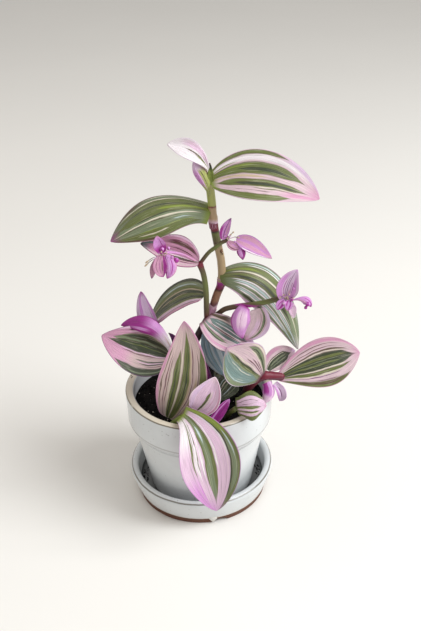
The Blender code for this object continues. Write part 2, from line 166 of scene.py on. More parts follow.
class Signal:
    """A value in a material; arithmetic on it adds Math nodes."""

    def __init__(self, paint, socket):
        self.paint = paint
        self.socket = socket

    def maths(self, operation, *values):
        return self.paint.add("ShaderNodeMath", dict(enumerate(values)), operation=operation)

    def __add__(self, other):
        return self.maths("ADD", self, other)

    def __radd__(self, other):
        return self.maths("ADD", other, self)

    def __sub__(self, other):
        return self.maths("SUBTRACT", self, other)

    def __rsub__(self, other):
        return self.maths("SUBTRACT", other, self)

    def __mul__(self, other):
        return self.maths("MULTIPLY", self, other)

    def __rmul__(self, other):
        return self.maths("MULTIPLY", other, self)

    def __truediv__(self, other):
        return self.maths("DIVIDE", self, other)

    def __pow__(self, other):
        return self.maths("POWER", self, other)

    def __abs__(self):
        return self.maths("ABSOLUTE", self)

    def rises(self, low, high):
        """0 below low, 1 above high, smooth between."""
        return self.paint.add("ShaderNodeMapRange", {0: self, 1: low, 2: high},
                              interpolation_type="SMOOTHSTEP")

    def falls(self, low, high):
        """1 below low, 0 above high, smooth between."""
        return self.paint.add("ShaderNodeMapRange", {0: self, 1: low, 2: high, 3: 1.0, 4: 0.0},
                              interpolation_type="SMOOTHSTEP")


class Paint:
    """One material and its node tree."""

    def __init__(self, name, roughness, coat=0.0):
        self.material = bpy.data.materials.new(name)
        self.material.use_nodes = True
        self.tree = self.material.node_tree
        self.shader = self.tree.nodes["Principled BSDF"]
        self.shader.inputs["Roughness"].default_value = roughness
        self.shader.inputs["Coat Weight"].default_value = coat

    def add(self, kind, values=(), output=0, stops=(), **settings):
        """A node of that kind with its settings, its sockets' values or links, and its output."""
        node = self.tree.nodes.new(kind)
        for key, value in settings.items():
            setattr(node, key, value)
        for _ in stops[2:]:
            node.color_ramp.elements.new(1.0)
        for element, (position, colour) in zip(node.color_ramp.elements if stops else (), stops):
            element.position = position
            element.color = (*colour, 1.0)
        for key, value in dict(values).items():
            socket = node.inputs[key]
            if isinstance(value, Signal):
                self.tree.links.new(value.socket, socket)
            elif socket.type == "RGBA":
                socket.default_value = (*value[:3], 1.0)
            else:
                socket.default_value = value
        return Signal(self, node.outputs[output])

    def feed(self, socket, signal):
        self.tree.links.new(signal.socket, self.shader.inputs[socket])

    def mix(self, share, first, second):
        """Colour between first and second."""
        return self.add("ShaderNodeMix", {0: share, 6: first, 7: second}, 2, data_type="RGBA")

    def scaled(self, colour, strength):
        """Colour made lighter or darker by a number."""
        return self.add("ShaderNodeVectorMath", {0: colour, "Scale": strength},
                        operation="SCALE")

    def place(self):
        """Object coordinates in metres."""
        return self.add("ShaderNodeTexCoord", output="Object")

    def split(self, vector):
        """A vector's x, y and z."""
        return [self.add("ShaderNodeSeparateXYZ", {0: vector}, axis) for axis in range(3)]

    def surface(self):
        """Place on a bent sheet: across from -1 to 1, and along from 0 to 1."""
        across, along, _ = self.split(self.add("ShaderNodeUVMap", uv_map="Surface"))
        return across * 2 - 1, along

    def noise(self, place, scale, detail=2.0):
        """Noise at a place, which may be given as its x, y and z."""
        if isinstance(place, tuple):
            place = self.add("ShaderNodeCombineXYZ", dict(enumerate(place)))
        return self.add("ShaderNodeTexNoise", {"Vector": place, "Scale": scale,
                                               "Detail": detail}, "Fac")

    def bump(self, height, strength, distance):
        self.feed("Normal", self.add("ShaderNodeBump", {"Height": height, "Strength": strength,
                                                        "Distance": distance}))


# Modelling

WELD_DISTANCE = 0.01 * MM
SPIN_STEPS = 128
EDGE_THINNING = 0.75     # how far the weight for thickness falls at a blade's edge
LEAST_THICKNESS = 0.2    # share of the thickness that would be left at no weight
GRAIN_SIZE = 0.88        # mean distance of a grain's surface from its middle, as a share


def deselect():
    """Leaves edit mode and selects nothing."""
    if bpy.context.mode != "OBJECT":
        bpy.ops.object.mode_set(mode="OBJECT")
    bpy.ops.object.select_all(action="DESELECT")


def vertices_of(item):
    """Places of a mesh's vertices in metres, one row each."""
    places = np.empty(len(item.data.vertices) * 3)
    item.data.vertices.foreach_get("co", places)
    return places.reshape(-1, 3)


def move_vertices(item, places):
    item.data.vertices.foreach_set("co", np.asarray(places).ravel())
    item.data.update()


def smooth(item, angle=60.0):
    """Smooth shading, but for edges sharper than the angle in degrees."""
    deselect()
    item.select_set(True)
    bpy.context.view_layer.objects.active = item
    bpy.ops.object.shade_smooth_by_angle(angle=np.radians(angle))


def apply_modifiers(item):
    bpy.context.view_layer.objects.active = item
    for modifier in list(item.modifiers):
        bpy.ops.object.modifier_apply(modifier=modifier.name)


def finish_piece(item, nodes, slot, *materials):
    """Gives a piece its materials and its body, and hides the nodes that it replaces; the slot is not used.
    """
    for material in materials:
        item.data.materials.append(material)
    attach(item, "root")
    if nodes:
        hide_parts(*nodes)


def bent_sheet(name, columns, rows, surface):
    """A flat grid bent onto surface(across, along), across -1 to 1 and along 0 to 1."""
    deselect()
    bpy.ops.mesh.primitive_grid_add(x_subdivisions=columns, y_subdivisions=rows, size=2)
    item = bpy.context.object
    item.name = item.data.name = name
    item.data.uv_layers[0].name = "Surface"
    flat = vertices_of(item)
    move_vertices(item, MM * surface(flat[:, 0], (flat[:, 1] + 1) / 2))
    return item


def weld(holes=False):
    """Joins the points that meet on the edited mesh, closes its holes and faces it outward."""
    bpy.ops.mesh.select_all(action="SELECT")
    bpy.ops.mesh.remove_doubles(threshold=WELD_DISTANCE)
    if holes:
        bpy.ops.mesh.fill_holes(sides=0)
        bpy.ops.mesh.select_all(action="SELECT")
    bpy.ops.mesh.normals_make_consistent(inside=False)
    bpy.ops.object.mode_set(mode="OBJECT")


def thicken(item, thickness, upper, lower):
    """Gives a sheet its thickness, thinner towards its edges, and a material on each side."""
    flat = np.array([loop.uv for loop in item.data.uv_layers[0].data])
    vertex = np.array([loop.vertex_index for loop in item.data.loops])
    across = np.zeros(len(item.data.vertices))
    across[vertex] = np.abs(flat[:, 0] * 2 - 1)
    group = item.vertex_groups.new(name="Thick")
    for index, value in enumerate(across):
        group.add([index], 1 - EDGE_THINNING * value ** 6, "REPLACE")
    solidify = item.modifiers.new("Thickness", "SOLIDIFY")
    solidify.thickness = thickness
    solidify.offset = 0
    solidify.vertex_group = "Thick"
    solidify.thickness_vertex_group = LEAST_THICKNESS
    solidify.material_offset = 1
    item.data.materials.append(upper)
    item.data.materials.append(lower)
    apply_modifiers(item)
    smooth(item)


def smooth_route(route, spacing):
    """Points of a Catmull-Rom curve through the route, about spacing apart."""
    route = np.array(route, float)
    ends = np.vstack([2 * route[0] - route[1], route, 2 * route[-1] - route[-2]])
    points = [route[0]]
    for a, b, c, d in zip(ends, ends[1:], ends[2:], ends[3:]):
        pieces = max(2, round(np.linalg.norm(c - b) / spacing))
        for t in np.arange(1, pieces + 1) / pieces:
            points.append(0.5 * (2 * b + (c - a) * t + (2 * a - 5 * b + 4 * c - d) * t ** 2
                                 + (3 * b - a - 3 * c + d) * t ** 3))
    return np.array(points)


def tube(name, points, radii, sides=20):
    """A round tube with closed ends through points; its sheet is wrapped round and welded."""
    points, radii = np.asarray(points, float), np.asarray(radii, float)
    forward = np.gradient(points, axis=0)
    forward /= np.linalg.norm(forward, axis=1, keepdims=True)
    right = np.empty_like(points)
    previous = np.cross(forward[0], (0.3, 0.9, 0.1))    # a direction that no tube starts in
    for row, ahead in enumerate(forward):
        previous = previous - ahead * previous.dot(ahead)
        previous /= np.linalg.norm(previous)
        right[row] = previous
    above = np.cross(right, forward)

    def surface(across, along):
        row = np.rint(along * (len(points) - 1)).astype(int)
        angle = (np.pi * across)[:, None]
        ring = right[row] * np.cos(angle) + above[row] * np.sin(angle)
        return points[row] + ring * radii[row][:, None]

    item = bent_sheet(name, sides, len(points) - 1, surface)
    bpy.ops.object.mode_set(mode="EDIT")
    weld(holes=True)
    smooth(item, 50)
    return item


def turned(name, profile):
    """A profile of (radius, height) drawn edge by edge, then spun about Z and welded."""
    deselect()
    bpy.ops.mesh.primitive_plane_add(size=0.001)
    item = bpy.context.object
    item.name = item.data.name = name
    bpy.ops.object.mode_set(mode="EDIT")
    bpy.ops.mesh.select_all(action="SELECT")
    bpy.ops.mesh.merge(type="CENTER")
    outline = MM * np.array([(r, 0, z) for r, z in profile])
    bpy.ops.transform.translate(value=tuple(outline[0]))
    for step in np.diff(outline, axis=0):
        bpy.ops.mesh.extrude_vertices_move(TRANSFORM_OT_translate={"value": tuple(step)})
    bpy.ops.mesh.select_all(action="SELECT")
    bpy.ops.mesh.spin(steps=SPIN_STEPS, angle=2 * np.pi, center=(0, 0, 0), axis=(0, 0, 1))
    weld()
    smooth(item, 50)
    return item


def scattered(name, places, radii, seed, flatness=0.7, subdivisions=1, rough=0.28):
    """Small lumpy grains: one is modelled, and each place gets its own copy, turned and sized."""
    deselect()
    bpy.ops.mesh.primitive_ico_sphere_add(subdivisions=subdivisions, radius=1)
    grain = bpy.context.object
    shape = vertices_of(grain)
    faces = np.array([polygon.vertices[:] for polygon in grain.data.polygons])
    bpy.data.objects.remove(grain)
    chance = np.random.default_rng(seed)
    corners, triangles = [], []
    for number, (place, size) in enumerate(zip(places, radii)):
        turn = np.array(Euler(chance.uniform(0, 2 * np.pi, 3)).to_matrix())
        lumps = chance.uniform(GRAIN_SIZE - rough, GRAIN_SIZE + rough, (len(shape), 1))
        lumpy = shape * lumps * (1, flatness, 0.85)
        corners.append(np.asarray(place) + size * lumpy @ turn.T)
        triangles.append(faces + number * len(shape))
    mesh = bpy.data.meshes.new(name)
    mesh.from_pydata(MM * np.concatenate(corners), [], np.concatenate(triangles).tolist())
    item = bpy.data.objects.new(name, mesh)
    bpy.context.scene.collection.objects.link(item)
    smooth(item, 50)
    return item


# Leaf shapes

FRONT = (0.0, -0.86, 0.51)     # forwards and up
FULLNESS = 0.72                # under 1 keeps a blade broad towards its ends
TIP_WIDTH = 0.02               # width left at a leaf's tip, as a share of its full width
MARGIN_WAVES = 9               # radians of the margin's waves along a blade
GROOVE = 0.08                  # half width of the groove on the midrib, across the blade
RIDGES = 16                    # radians of the long ridges from the midrib to the edge
PETAL_RIDGE = 0.03             # height of the ridges on a petal
PETAL_COLUMNS, PETAL_ROWS = 14, 24

GREENS = ("olive", "deep", "spring", "grey_green", "teal")
FADING_WIDTH = 0.18            # pale bands from this width on fade at their ends, others narrow
OUTLINED_WIDTH = 0.1           # wider green bands have a thin brown outline
BAND_SPARE = 0.05              # lets a narrowing band close completely


@dataclass
class Leaf:
    """A blade on a curved midrib, and the bands of colour across it.

    Each band holds what band() asks for.
    """
    name: str
    base: tuple
    mid: tuple
    tip: tuple
    width: float
    face: tuple = FRONT
    cup: float = 0.5
    fold: float = 0.0
    widest: float = 0.45
    foot: float = 0.3
    lean: float = 0.0        # extra width on the right of the midrib, as a share
    wave: float = 0.5        # height of the margin's waves
    field: str = "pink"
    bands: tuple = ()
    tip_colour: str = "rose"
    tip_start: float = 0.9
    margin: str = "rose"     # thin outline
    base_colour: str = ""
    mirrored: bool = False   # whether the first band lies at the right edge
    slot: str = "striped_leaf"

    @property
    def seed(self):
        """A number of its own for its waves and its grain."""
        return sum(map(ord, self.name))


@dataclass
class Petal(Leaf):
    """A small blade of a flower, with nearly flat margins."""
    wave: float = 0.12
    field: str = "lilac"
    tip_colour: str = "magenta"
    margin: str = "magenta"
    slot: str = "petal"


def band(middle, width, colour, start=0, end=100):
    """A band in shares, from hundredths of the blade's half width and of its length.

    Its middle runs from -100, the upper or left edge, to 100.
    """
    return middle / 100, width / 100, colour, start / 100, end / 100


def half_width(leaf, along):
    """Half width along the blade: a rounded lens with a clasping foot and a drawn-out tip."""
    lens = np.sin(np.pi * along ** (np.log(0.5) / np.log(leaf.widest))) ** FULLNESS
    foot = leaf.foot * (1 - along) ** 4
    return 0.5 * leaf.width * np.maximum(lens + foot * (1 - lens), TIP_WIDTH)


def blade(leaf, ridge):
    """The surface of a leaf as a function of across and along."""
    base, mid, tip = (np.array(point, float) for point in (leaf.base, leaf.mid, leaf.tip))
    bow = 2 * mid - 0.5 * (base + tip)
    face = np.array(leaf.face, float)
    seed = leaf.seed % 7

    def surface(across, along):
        t = along[:, None]
        centre = (1 - t) ** 2 * base + 2 * t * (1 - t) * bow + t ** 2 * tip
        ahead = 2 * (1 - t) * (bow - base) + 2 * t * (tip - bow)
        ahead /= np.linalg.norm(ahead, axis=1, keepdims=True)
        up = face - (ahead @ face)[:, None] * ahead
        up /= np.linalg.norm(up, axis=1, keepdims=True)
        side = np.cross(ahead, up)
        half = half_width(leaf, along) * (1 + leaf.lean * np.sign(across))
        arc = leaf.cup * across
        out = half * np.sin(arc) / leaf.cup
        rise = half * (1 - np.cos(arc)) / leaf.cup
        bend = np.sqrt(across ** 2 + 0.01) - 0.1    # a fold with a rounded bottom
        rise = rise + half * bend * np.sin(leaf.fold)
        out = out * np.cos(leaf.fold)
        edge = across ** 4 * np.sin(np.pi * along)
        rise = rise + leaf.wave * edge * np.sin(along * MARGIN_WAVES + seed + 2 * across)
        relief = np.cos(across * RIDGES) * 0.5 - 2 * np.exp(-(across / GROOVE) ** 2)
        rise = rise + ridge * relief * np.sin(np.pi * along)
        return centre + side * out[:, None] + up * rise[:, None]

    return surface


def leaf_material(leaf):
    """Bands from base to tip, fine cream and brown lines between them, and raised veins."""
    look = colours()
    paint = Paint(leaf.name, 0.42)
    across, along = paint.surface()
    seed = leaf.seed * 0.37
    sway = paint.noise((across * 1.3, along * 2.2, seed), 1.6)
    fine = paint.noise((across * 9, along * 1.1, seed), 3.0, 3.0)
    veins = paint.noise((across * 26, along * 0.8, seed), 2.4, 4.0)
    hairs = paint.noise((across * 17, along * 1.6, seed + 5), 2.6)
    if leaf.mirrored:
        across = across * -1
    place = across + (sway - 0.5) * 0.16 + (fine - 0.5) * 0.07    # bands waver, edges fray
    field = getattr(look, leaf.field)
    colour = paint.mix(sway.rises(0.3, 0.7), field, paint.scaled(field, 0.9))
    for middle, width, name, start, end in (band(*entry) for entry in leaf.bands):
        ends = []
        if start > 0:
            ends.append(along.rises(start - 0.06, start + 0.16))
        if end < 1:
            ends.append(along.falls(end - 0.2, end + 0.06))
        reach, strength = width / 2 + BAND_SPARE, 1.0
        for share in ends:
            if width >= FADING_WIDTH and name not in GREENS:
                strength = share * strength
            else:
                reach = share * reach
        edge = reach - abs(place - middle) - BAND_SPARE
        soft = min(0.03, 0.01 + width * 0.1)
        colour = paint.mix(edge.rises(-soft, soft) * strength, colour, getattr(look, name))
        if name in GREENS and width > OUTLINED_WIDTH:
            outline = abs(edge - 0.008).falls(0.004, 0.024) * 0.45    # just inside the edge
            colour = paint.mix(outline, colour, look.brown)
    lined = 0.28 if leaf.slot == "striped_leaf" else 0.1
    colour = paint.mix(hairs.rises(0.58, 0.66) * lined, colour, look.cream)
    colour = paint.mix(hairs.falls(0.34, 0.43) * lined, colour, look.brown)
    tip = along + (sway - 0.5) * 0.14 - abs(across) * 0.03
    colour = paint.mix(tip.rises(leaf.tip_start - 0.08, leaf.tip_start + 0.1), colour,
                       getattr(look, leaf.tip_colour))
    if leaf.base_colour:
        colour = paint.mix(along.falls(0.0, 0.09), colour, getattr(look, leaf.base_colour))
    colour = paint.mix(abs(across).rises(0.965, 0.99) * 0.7, colour, getattr(look, leaf.margin))
    paint.feed("Base Color", paint.scaled(colour, 0.8 + veins.rises(0.3, 0.7) * 0.34))
    paint.feed("Roughness", 0.30 + veins * 0.24)
    paint.bump(veins, 0.5, 0.0005)
    return paint.material


def underside_material():
    """Purple underside with faint bands of green and pink."""
    look = colours()
    paint = Paint("leaf_underside", 0.5)
    across, along = paint.surface()
    sway = paint.noise((across * 3.4, along * 0.7, 4.0), 2.0, 3.0)
    veins = paint.noise((across * 24, along * 0.8, 1.0), 2.4, 4.0)
    colour = paint.mix(sway.rises(0.42, 0.56), look.purple, look.rose)
    colour = paint.mix((sway + (1 - abs(across)) * 0.1).rises(0.6, 0.68), colour, look.grey_green)
    colour = paint.mix(along.rises(0.8, 1.0), colour, look.magenta)
    paint.feed("Base Color", paint.scaled(colour, 0.8 + veins * 0.4))
    paint.bump(veins, 0.35, 0.0004)
    return paint.material


def make_leaf(leaf, underside, thickness, ridge, columns, rows):
    """A blade with its ridges; only a striped leaf shows the underside's material below."""
    item = bent_sheet(leaf.name + "_blade", columns, rows, blade(leaf, ridge))
    upper = leaf_material(leaf)
    thicken(item, thickness, upper, underside if leaf.slot == "striped_leaf" else upper)
    nodes = [leaf.name] if leaf.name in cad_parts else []
    finish_piece(item, nodes, leaf.slot)


# The silvery blue bands in this table are painted highlights, standing for light caught on the leaves'
# gloss.
LEAVES = (
    Leaf("top_bud_leaf", (9, -2.2, 216), (1.2, -4, 226.5), (-12, -3, 231), 11.5, face=(0.1, -0.8, 0.6),
         cup=0.7, widest=0.6, foot=0.12, field="white", tip_colour="white", margin="lavender",
         mirrored=True, bands=(
        (-60, 56, "blush", 6, 80), (-6, 13, "brown", 8, 74), (8, 16, "spring", 0, 50),
        (-42, 5, "brown", 0, 40), (-72, 4, "olive", 0, 45))),
    Leaf("bud_sheath", (9.8, -1.6, 199.5), (7.4, -3.2, 210), (1.2, -3.8, 221), 9.5, cup=-1.3,
         widest=0.66, foot=0.25, field="young", tip_colour="lavender", tip_start=0.8, margin="beige", bands=(
        (-60, 80, "lilac", 36), (-30, 10, "blush", 20), (2, 9, "brown", 0, 90),
        (70, 40, "beige", 0, 90))),
    Leaf("new_leaf_tip", (9.9, -1, 206), (10.2, -1.9, 212), (9.9, -1.6, 219.5), 4, cup=1.0,
         field="spring", tip_colour="deep", tip_start=0.75, margin="olive"),
    Leaf("top_right_leaf", (9.9, -1.6, 208.8), (39, -5, 213), (68, -8, 200), 30,
         face=(0.0, -0.75, 0.66), cup=0.45, foot=0.14, lean=0.07, margin="blush", base_colour="spring",
         bands=(
        (-90, 30, "lavender", 60), (-90, 20, "olive", 0, 70), (-67, 22, "white", 0, 90),
        (-58, 5, "spring", 0, 35), (-27, 42, "olive", 0, 86), (-24, 10, "deep", 20, 80),
        (-38, 5, "spring", 0, 50), (4, 10, "beige", 0, 60), (30, 30, "olive", 3, 93),
        (34, 12, "deep", 16, 90), (45, 3.5, "cream", 30, 96), (50, 2.5, "olive", 30, 94),
        (60, 2, "brown", 10, 70), (69, 2, "brown", 40, 68), (64, 30, "rose", 66),
        (86, 30, "olive", 0, 80))),
    Leaf("upper_left_leaf", (9.6, -1.6, 191.3), (-18, -6, 194.6), (-45, -10, 179), 28.5,
         face=(-0.1, -0.6, 0.8), cup=-0.3, fold=-0.35, widest=0.55, foot=0.5, lean=0.04,
         field="grey_green", tip_colour="magenta", tip_start=0.96, base_colour="spring", mirrored=True,
         bands=(
        (-86, 24, "brown", 60, 98), (-97, 3.5, "brown"), (-88, 4, "cream", 0, 70),
        (-66, 5, "cream", 0, 97), (-48, 28, "olive", 0, 97), (-30, 5, "deep", 6, 90),
        (-8, 36, "olive", 0, 96), (-10, 16, "spring", 0, 60), (12, 3, "deep", 20, 90),
        (24, 6.5, "cream", 3), (31, 3, "brown", 20), (44, 4, "frost", 10, 50), (60, 4, "spring", 5, 90),
        (78, 34, "olive", 6), (74, 4, "cream", 35, 90), (92, 12, "brown", 55))),
    Leaf("middle_right_leaf", (14.2, -2.6, 151.4), (42, -6, 144), (59, -8, 105), 27,
         face=(0.2, -0.75, 0.65), cup=-0.3, fold=-0.35, foot=0.22, field="grey_green",
         tip_colour="white", tip_start=0.97, margin="blush", base_colour="olive", bands=(
        (-97, 4, "deep"), (-84, 6, "frost", 10, 95), (-72, 4, "white", 15, 95),
        (-52, 28, "olive", 0, 90), (-50, 10, "spring", 0, 45), (-30, 6, "cream", 2),
        (-22, 6, "brown", 0, 90), (-4, 34, "olive", 0, 80), (2, 14, "deep", 6, 90),
        (19, 5, "white", 4, 98), (28, 8, "frost", 6), (37, 5.5, "white", 5, 98),
        (46, 10, "grey_green", 10), (54, 5, "white", 8, 98), (63, 8, "frost", 8),
        (71, 5.5, "white", 10, 97), (82, 7, "deep", 15, 80), (95, 10, "blush"))),
    Leaf("back_left_leaf", (4.6, -4.8, 140.7), (-12, 8, 131), (-30, 20, 106), 24,
         face=(-0.1, -0.45, 0.9), cup=0.25, foot=0.4, lean=0.05, field="grey_green", tip_start=1.1,
         margin="maroon", mirrored=True, bands=(
        (-92, 18, "deep"), (-68, 5, "frost", 10, 80), (-50, 18, "olive"), (-36, 4.5, "beige"),
        (0, 60, "deep"), (-2, 20, "olive", 0, 70), (-12, 3, "beige", 20, 90),
        (14, 3, "grey_green", 10, 80), (40, 14, "olive"), (50, 5, "cream"), (66, 26, "blush"),
        (76, 4.5, "maroon"), (92, 22, "rose"))),
    Leaf("left_branch_leaf", (2.2, -8.5, 164.1), (-12, -9, 170), (-29, -9, 177), 22,
         face=(-0.1, -0.6, 0.8), cup=0.3, fold=0.6, foot=0.15, field="rose", tip_colour="teal",
         margin="maroon", mirrored=True, bands=(
        (-96, 12, "blush"), (-66, 20, "maroon", 2, 72), (-62, 5, "brown", 5, 70),
        (-36, 5, "maroon", 5, 70), (-50, 30, "teal", 76), (-14, 10, "blush", 0, 80),
        (3, 6, "white", 0, 95), (16, 14, "grey_green", 0, 60), (28, 5, "deep", 0, 55),
        (40, 5, "cream", 0, 50), (50, 6, "deep", 5, 50), (75, 30, "pink"))),
    Leaf("center_hanging_leaf", (5.2, -8.6, 127.6), (17, -14, 119.5), (35, -17, 110), 21,
         face=(0.1, -0.7, 0.7), foot=0.45, tip_colour="lavender", tip_start=0.8, margin="maroon",
         base_colour="maroon", bands=(
        (-80, 26, "brown", 0, 50), (-62, 5, "cream", 5, 60), (-34, 46, "teal", 5, 84),
        (-46, 4, "frost", 10, 80), (-30, 5, "white", 12, 86), (-10, 4, "white", 10, 90),
        (-4, 5, "brown", 5, 80), (10, 16, "teal", 0, 92), (19, 3, "white", 5, 90),
        (40, 20, "grey_green", 0, 62), (46, 7, "deep", 2, 60), (30, 4, "maroon", 10, 70),
        (78, 16, "rose"), (-10, 14, "teal", 80))),
    Leaf("center_round_leaf", (34.5, -13, 136), (34, -15, 127), (28, -17, 118), 16, foot=0.5,
         margin="lavender", mirrored=True, bands=(
        (10, 30, "blush", 30), (30, 3, "maroon", 5, 80), (52, 16, "grey_green"), (59, 5, "deep", 3),
        (86, 24, "lavender"))),
    Leaf("center_bract", (28, -14.5, 138.5), (25, -19, 131), (26, -20, 121), 12.5, cup=-0.9, foot=0.5,
         field="lilac", tip_colour="magenta", tip_start=0.93, margin="magenta", base_colour="magenta",
         slot="magenta_leaf", bands=(
        (-10, 90, "blush", 10, 75), (5, 2.5, "magenta", 5, 90), (90, 12, "magenta", 20))),
    # Painted reflection: this leaf's blue field paints the sky's sheen on its gloss.
    Leaf("blue_green_leaf", (6, -5, 117), (10, -9, 103), (17, -13, 90), 13.5, face=(0.1, -0.86, 0.5),
         cup=-0.4, field="sky", tip_colour="lilac", tip_start=0.93, margin="white", bands=(
        (-80, 8, "teal", 0, 70), (-50, 34, "frost", 6, 85), (-25, 4, "teal", 0, 80),
        (0, 20, "frost", 20), (20, 4, "grey_green", 0, 90), (45, 6, "frost", 10, 90),
        (62, 8, "teal", 0, 80), (80, 20, "frost", 30, 95))),
    Leaf("right_round_leaf", (36.8, -19.4, 93.6), (27, -23, 105.5), (17, -24, 117), 29,
         face=(0.0, -0.86, 0.5), cup=0.3, widest=0.52, foot=0.2, tip_start=0.95, margin="lavender",
         base_colour="maroon", bands=(
        (-58, 94, "grey_green"), (-52, 60, "teal", 4), (-76, 2, "frost", 10, 90),
        (-30, 2, "cream", 10, 90), (-6, 17, "olive", 0, 97), (-3, 8, "deep", 3, 90), (9, 4, "cream"),
        (24, 5, "maroon", 0, 62), (36, 5, "maroon", 0, 55), (47, 4, "maroon", 0, 45),
        (58, 5, "cream", 0, 70), (74, 26, "grey_green", 0, 74), (70, 8, "deep", 0, 70),
        (93, 6, "cream", 0, 80), (92, 14, "magenta", 78))),
    Leaf("right_small_leaf", (41, -14, 94.6), (48, -9, 100), (58, -5, 102), 13.5, cup=0.4,
         tip_colour="lavender", bands=(
        (-80, 30, "rose", 0, 70), (12, 95, "deep", 0, 86), (5, 12, "grey_green", 5, 80),
        (30, 6, "grey_green", 0, 80), (-25, 5, "cream", 0, 80), (66, 5, "cream", 0, 80))),
    Leaf("right_large_leaf", (46.8, -16.4, 90.3), (71, -15, 99.8), (95, -12, 104), 29.5,
         face=(0.0, -0.86, 0.5), cup=0.4, widest=0.56, foot=0.12, lean=0.05, tip_start=0.93,
         base_colour="rose", bands=(
        (-90, 16, "rose"), (-72, 3, "maroon", 8, 90), (-56, 3.5, "maroon", 5, 85),
        (-43, 6, "brown", 2, 95), (-36, 3.5, "cream", 0, 95), (-2, 62, "deep", 0, 96),
        (-14, 12, "olive", 0, 90), (10, 7, "olive", 0, 85), (-3, 2.5, "grey_green", 10, 90),
        (29, 4, "cream", 2, 95), (40, 15, "olive", 0, 92), (50, 5, "cream", 0, 90),
        (57, 3, "purple", 0, 85), (72, 3, "maroon", 30, 80), (89, 26, "olive", 0, 86),
        (84, 10, "brown", 10, 84))),
    Leaf("right_under_leaf", (40, -19.5, 89.5), (41, -23, 84), (38, -24, 78), 8.5, cup=-1.0, foot=0.8,
         field="lilac", tip_colour="blush", tip_start=0.6, margin="blush", slot="magenta_leaf",
         bands=((30, 70, "magenta", 0, 60), (-60, 20, "blush"))),
    Leaf("right_curl_leaf", (45, -19, 88.5), (49, -20, 82), (48, -18, 75), 6.5, cup=0.9, foot=0.6,
         field="lavender", tip_colour="lilac", margin="lilac", slot="magenta_leaf",
         bands=((10, 20, "purple", 12, 78), (80, 30, "lilac"))),
    Leaf("front_round_leaf", (21.8, -34, 83), (30, -38, 86.4), (38.8, -36, 85), 17.6, cup=-0.4,
         widest=0.5, foot=0.6, field="blush", tip_start=0.95, margin="spring", base_colour="olive", bands=(
        (-86, 34, "olive", 0, 95), (-40, 3.5, "brown", 0, 85), (-15, 3, "maroon", 10, 70),
        (8, 18, "olive", 0, 86), (19, 5, "cream", 0, 90), (40, 13, "olive", 0, 84),
        (50, 5, "cream", 0, 90), (86, 34, "olive", 0, 97))),
    Leaf("tall_front_leaf", (-18, -24, 69), (-8, -28, 102), (-6.6, -23, 135), 29, cup=0.4, widest=0.4,
         foot=0.25, field="dusty", tip_colour="magenta", tip_start=0.97, bands=(
        (-96, 12, "rose"), (93, 20, "rose", 60), (-84, 3.5, "brown", 2, 90), (-68, 4, "maroon", 0, 85),
        (-58, 3, "brown", 5, 80), (-47, 5, "cream", 0, 70), (-28, 26, "olive", 0, 78),
        (-30, 5, "deep", 0, 72), (-11, 5, "cream", 0, 90), (-16, 2, "brown", 5, 90),
        (10, 30, "olive", 0, 95), (14, 5, "deep", 3, 90), (5, 2, "brown", 0, 90),
        (28, 8, "beige", 0, 86), (38, 3.5, "maroon", 0, 92), (52, 10, "beige", 0, 60),
        (62, 3.5, "brown", 5, 85), (85, 34, "olive", 0, 80))),
    Leaf("left_large_leaf", (-16.2, -3.4, 98), (-34.5, -9, 106.6), (-55, -10, 119), 32,
         face=(-0.1, -0.8, 0.6), cup=0.4, foot=0.15, lean=0.12, field="dusty", tip_start=0.93,
         margin="purple", mirrored=True, bands=(
        (0, 240, "rose", 55), (-93, 12, "blush", 0, 95), (-78, 8, "deep", 0, 85),
        (-68, 6, "blush", 0, 85), (-36, 44, "grey_green", 0, 90), (-46, 14, "deep", 0, 84),
        (-14, 34, "deep", 0, 95), (-20, 3, "olive", 0, 90), (6, 5, "blush", 0, 90),
        (12, 3.5, "maroon", 0, 85), (33, 5.5, "deep", 0, 62), (45, 6, "deep", 0, 55),
        (39, 4, "blush", 0, 60), (56, 4, "maroon", 0, 50), (84, 36, "deep", 0, 78),
        (86, 6, "grey_green", 0, 70))),
    Leaf("magenta_upright_leaf", (-20, 4, 101), (-29, 6, 121.5), (-32, 6, 138.5), 12,
         face=(0.5, -0.7, 0.6), cup=-0.5, foot=0.4, field="lavender", tip_colour="magenta",
         tip_start=0.93, margin="magenta", slot="magenta_leaf", bands=(
        (-50, 30, "lilac", 50), (45, 3, "purple", 10, 85), (75, 25, "lilac", 30),
        (0, 240, "lilac", 0, 35))),
    Leaf("magenta_side_leaf", (-14.6, -5.5, 101.6), (-26, -8.5, 122.5), (-44, -3, 121.3), 11, cup=-0.8,
         widest=0.62, field="magenta", tip_colour="magenta", margin="magenta", slot="magenta_leaf", bands=(
        (40, 100, "lilac", 10, 66), (0, 240, "lilac", 0, 42), (0, 240, "white", 0, 36),
        (30, 20, "beige", 0, 30), (10, 4, "lilac", 0, 40), (-50, 30, "lilac", 50, 90))),
    Leaf("dark_left_leaf", (-14, 2.6, 98.5), (-13.5, 3.6, 105.5), (-17, 3.6, 111), 4, cup=0.4, wave=0.2,
         field="purple", tip_colour="bark", slot="magenta_leaf"),
    Leaf("front_hanging_leaf", (-9, -38, 81.5), (3.6, -53, 68), (8.8, -54.3, 22.6), 36,
         face=(0.1, -0.8, 0.5), widest=0.6, field="blush", tip_colour="lilac", tip_start=0.96,
         margin="lilac", base_colour="spring", mirrored=True, bands=(
        (-78, 50, "white", 0, 50), (-76, 50, "lilac", 70), (-52, 6, "olive", 0, 80),
        (-40, 16, "white", 0, 80), (-36, 2.5, "brown", 2, 84), (-45, 2, "olive", 2, 60),
        (-25, 6, "white", 0, 85), (2, 36, "grey_green", 0, 97), (-13, 5, "olive", 0, 93),
        (-2, 10, "frost", 16, 50), (14, 10, "olive", 0, 97), (26, 4, "white", 0, 80),
        (62, 6, "white", 2, 70), (85, 36, "olive"), (84, 30, "spring", 0, 50),
        (80, 20, "grey_green", 36, 95), (84, 6, "frost", 30, 70), (68, 5, "deep", 10))),
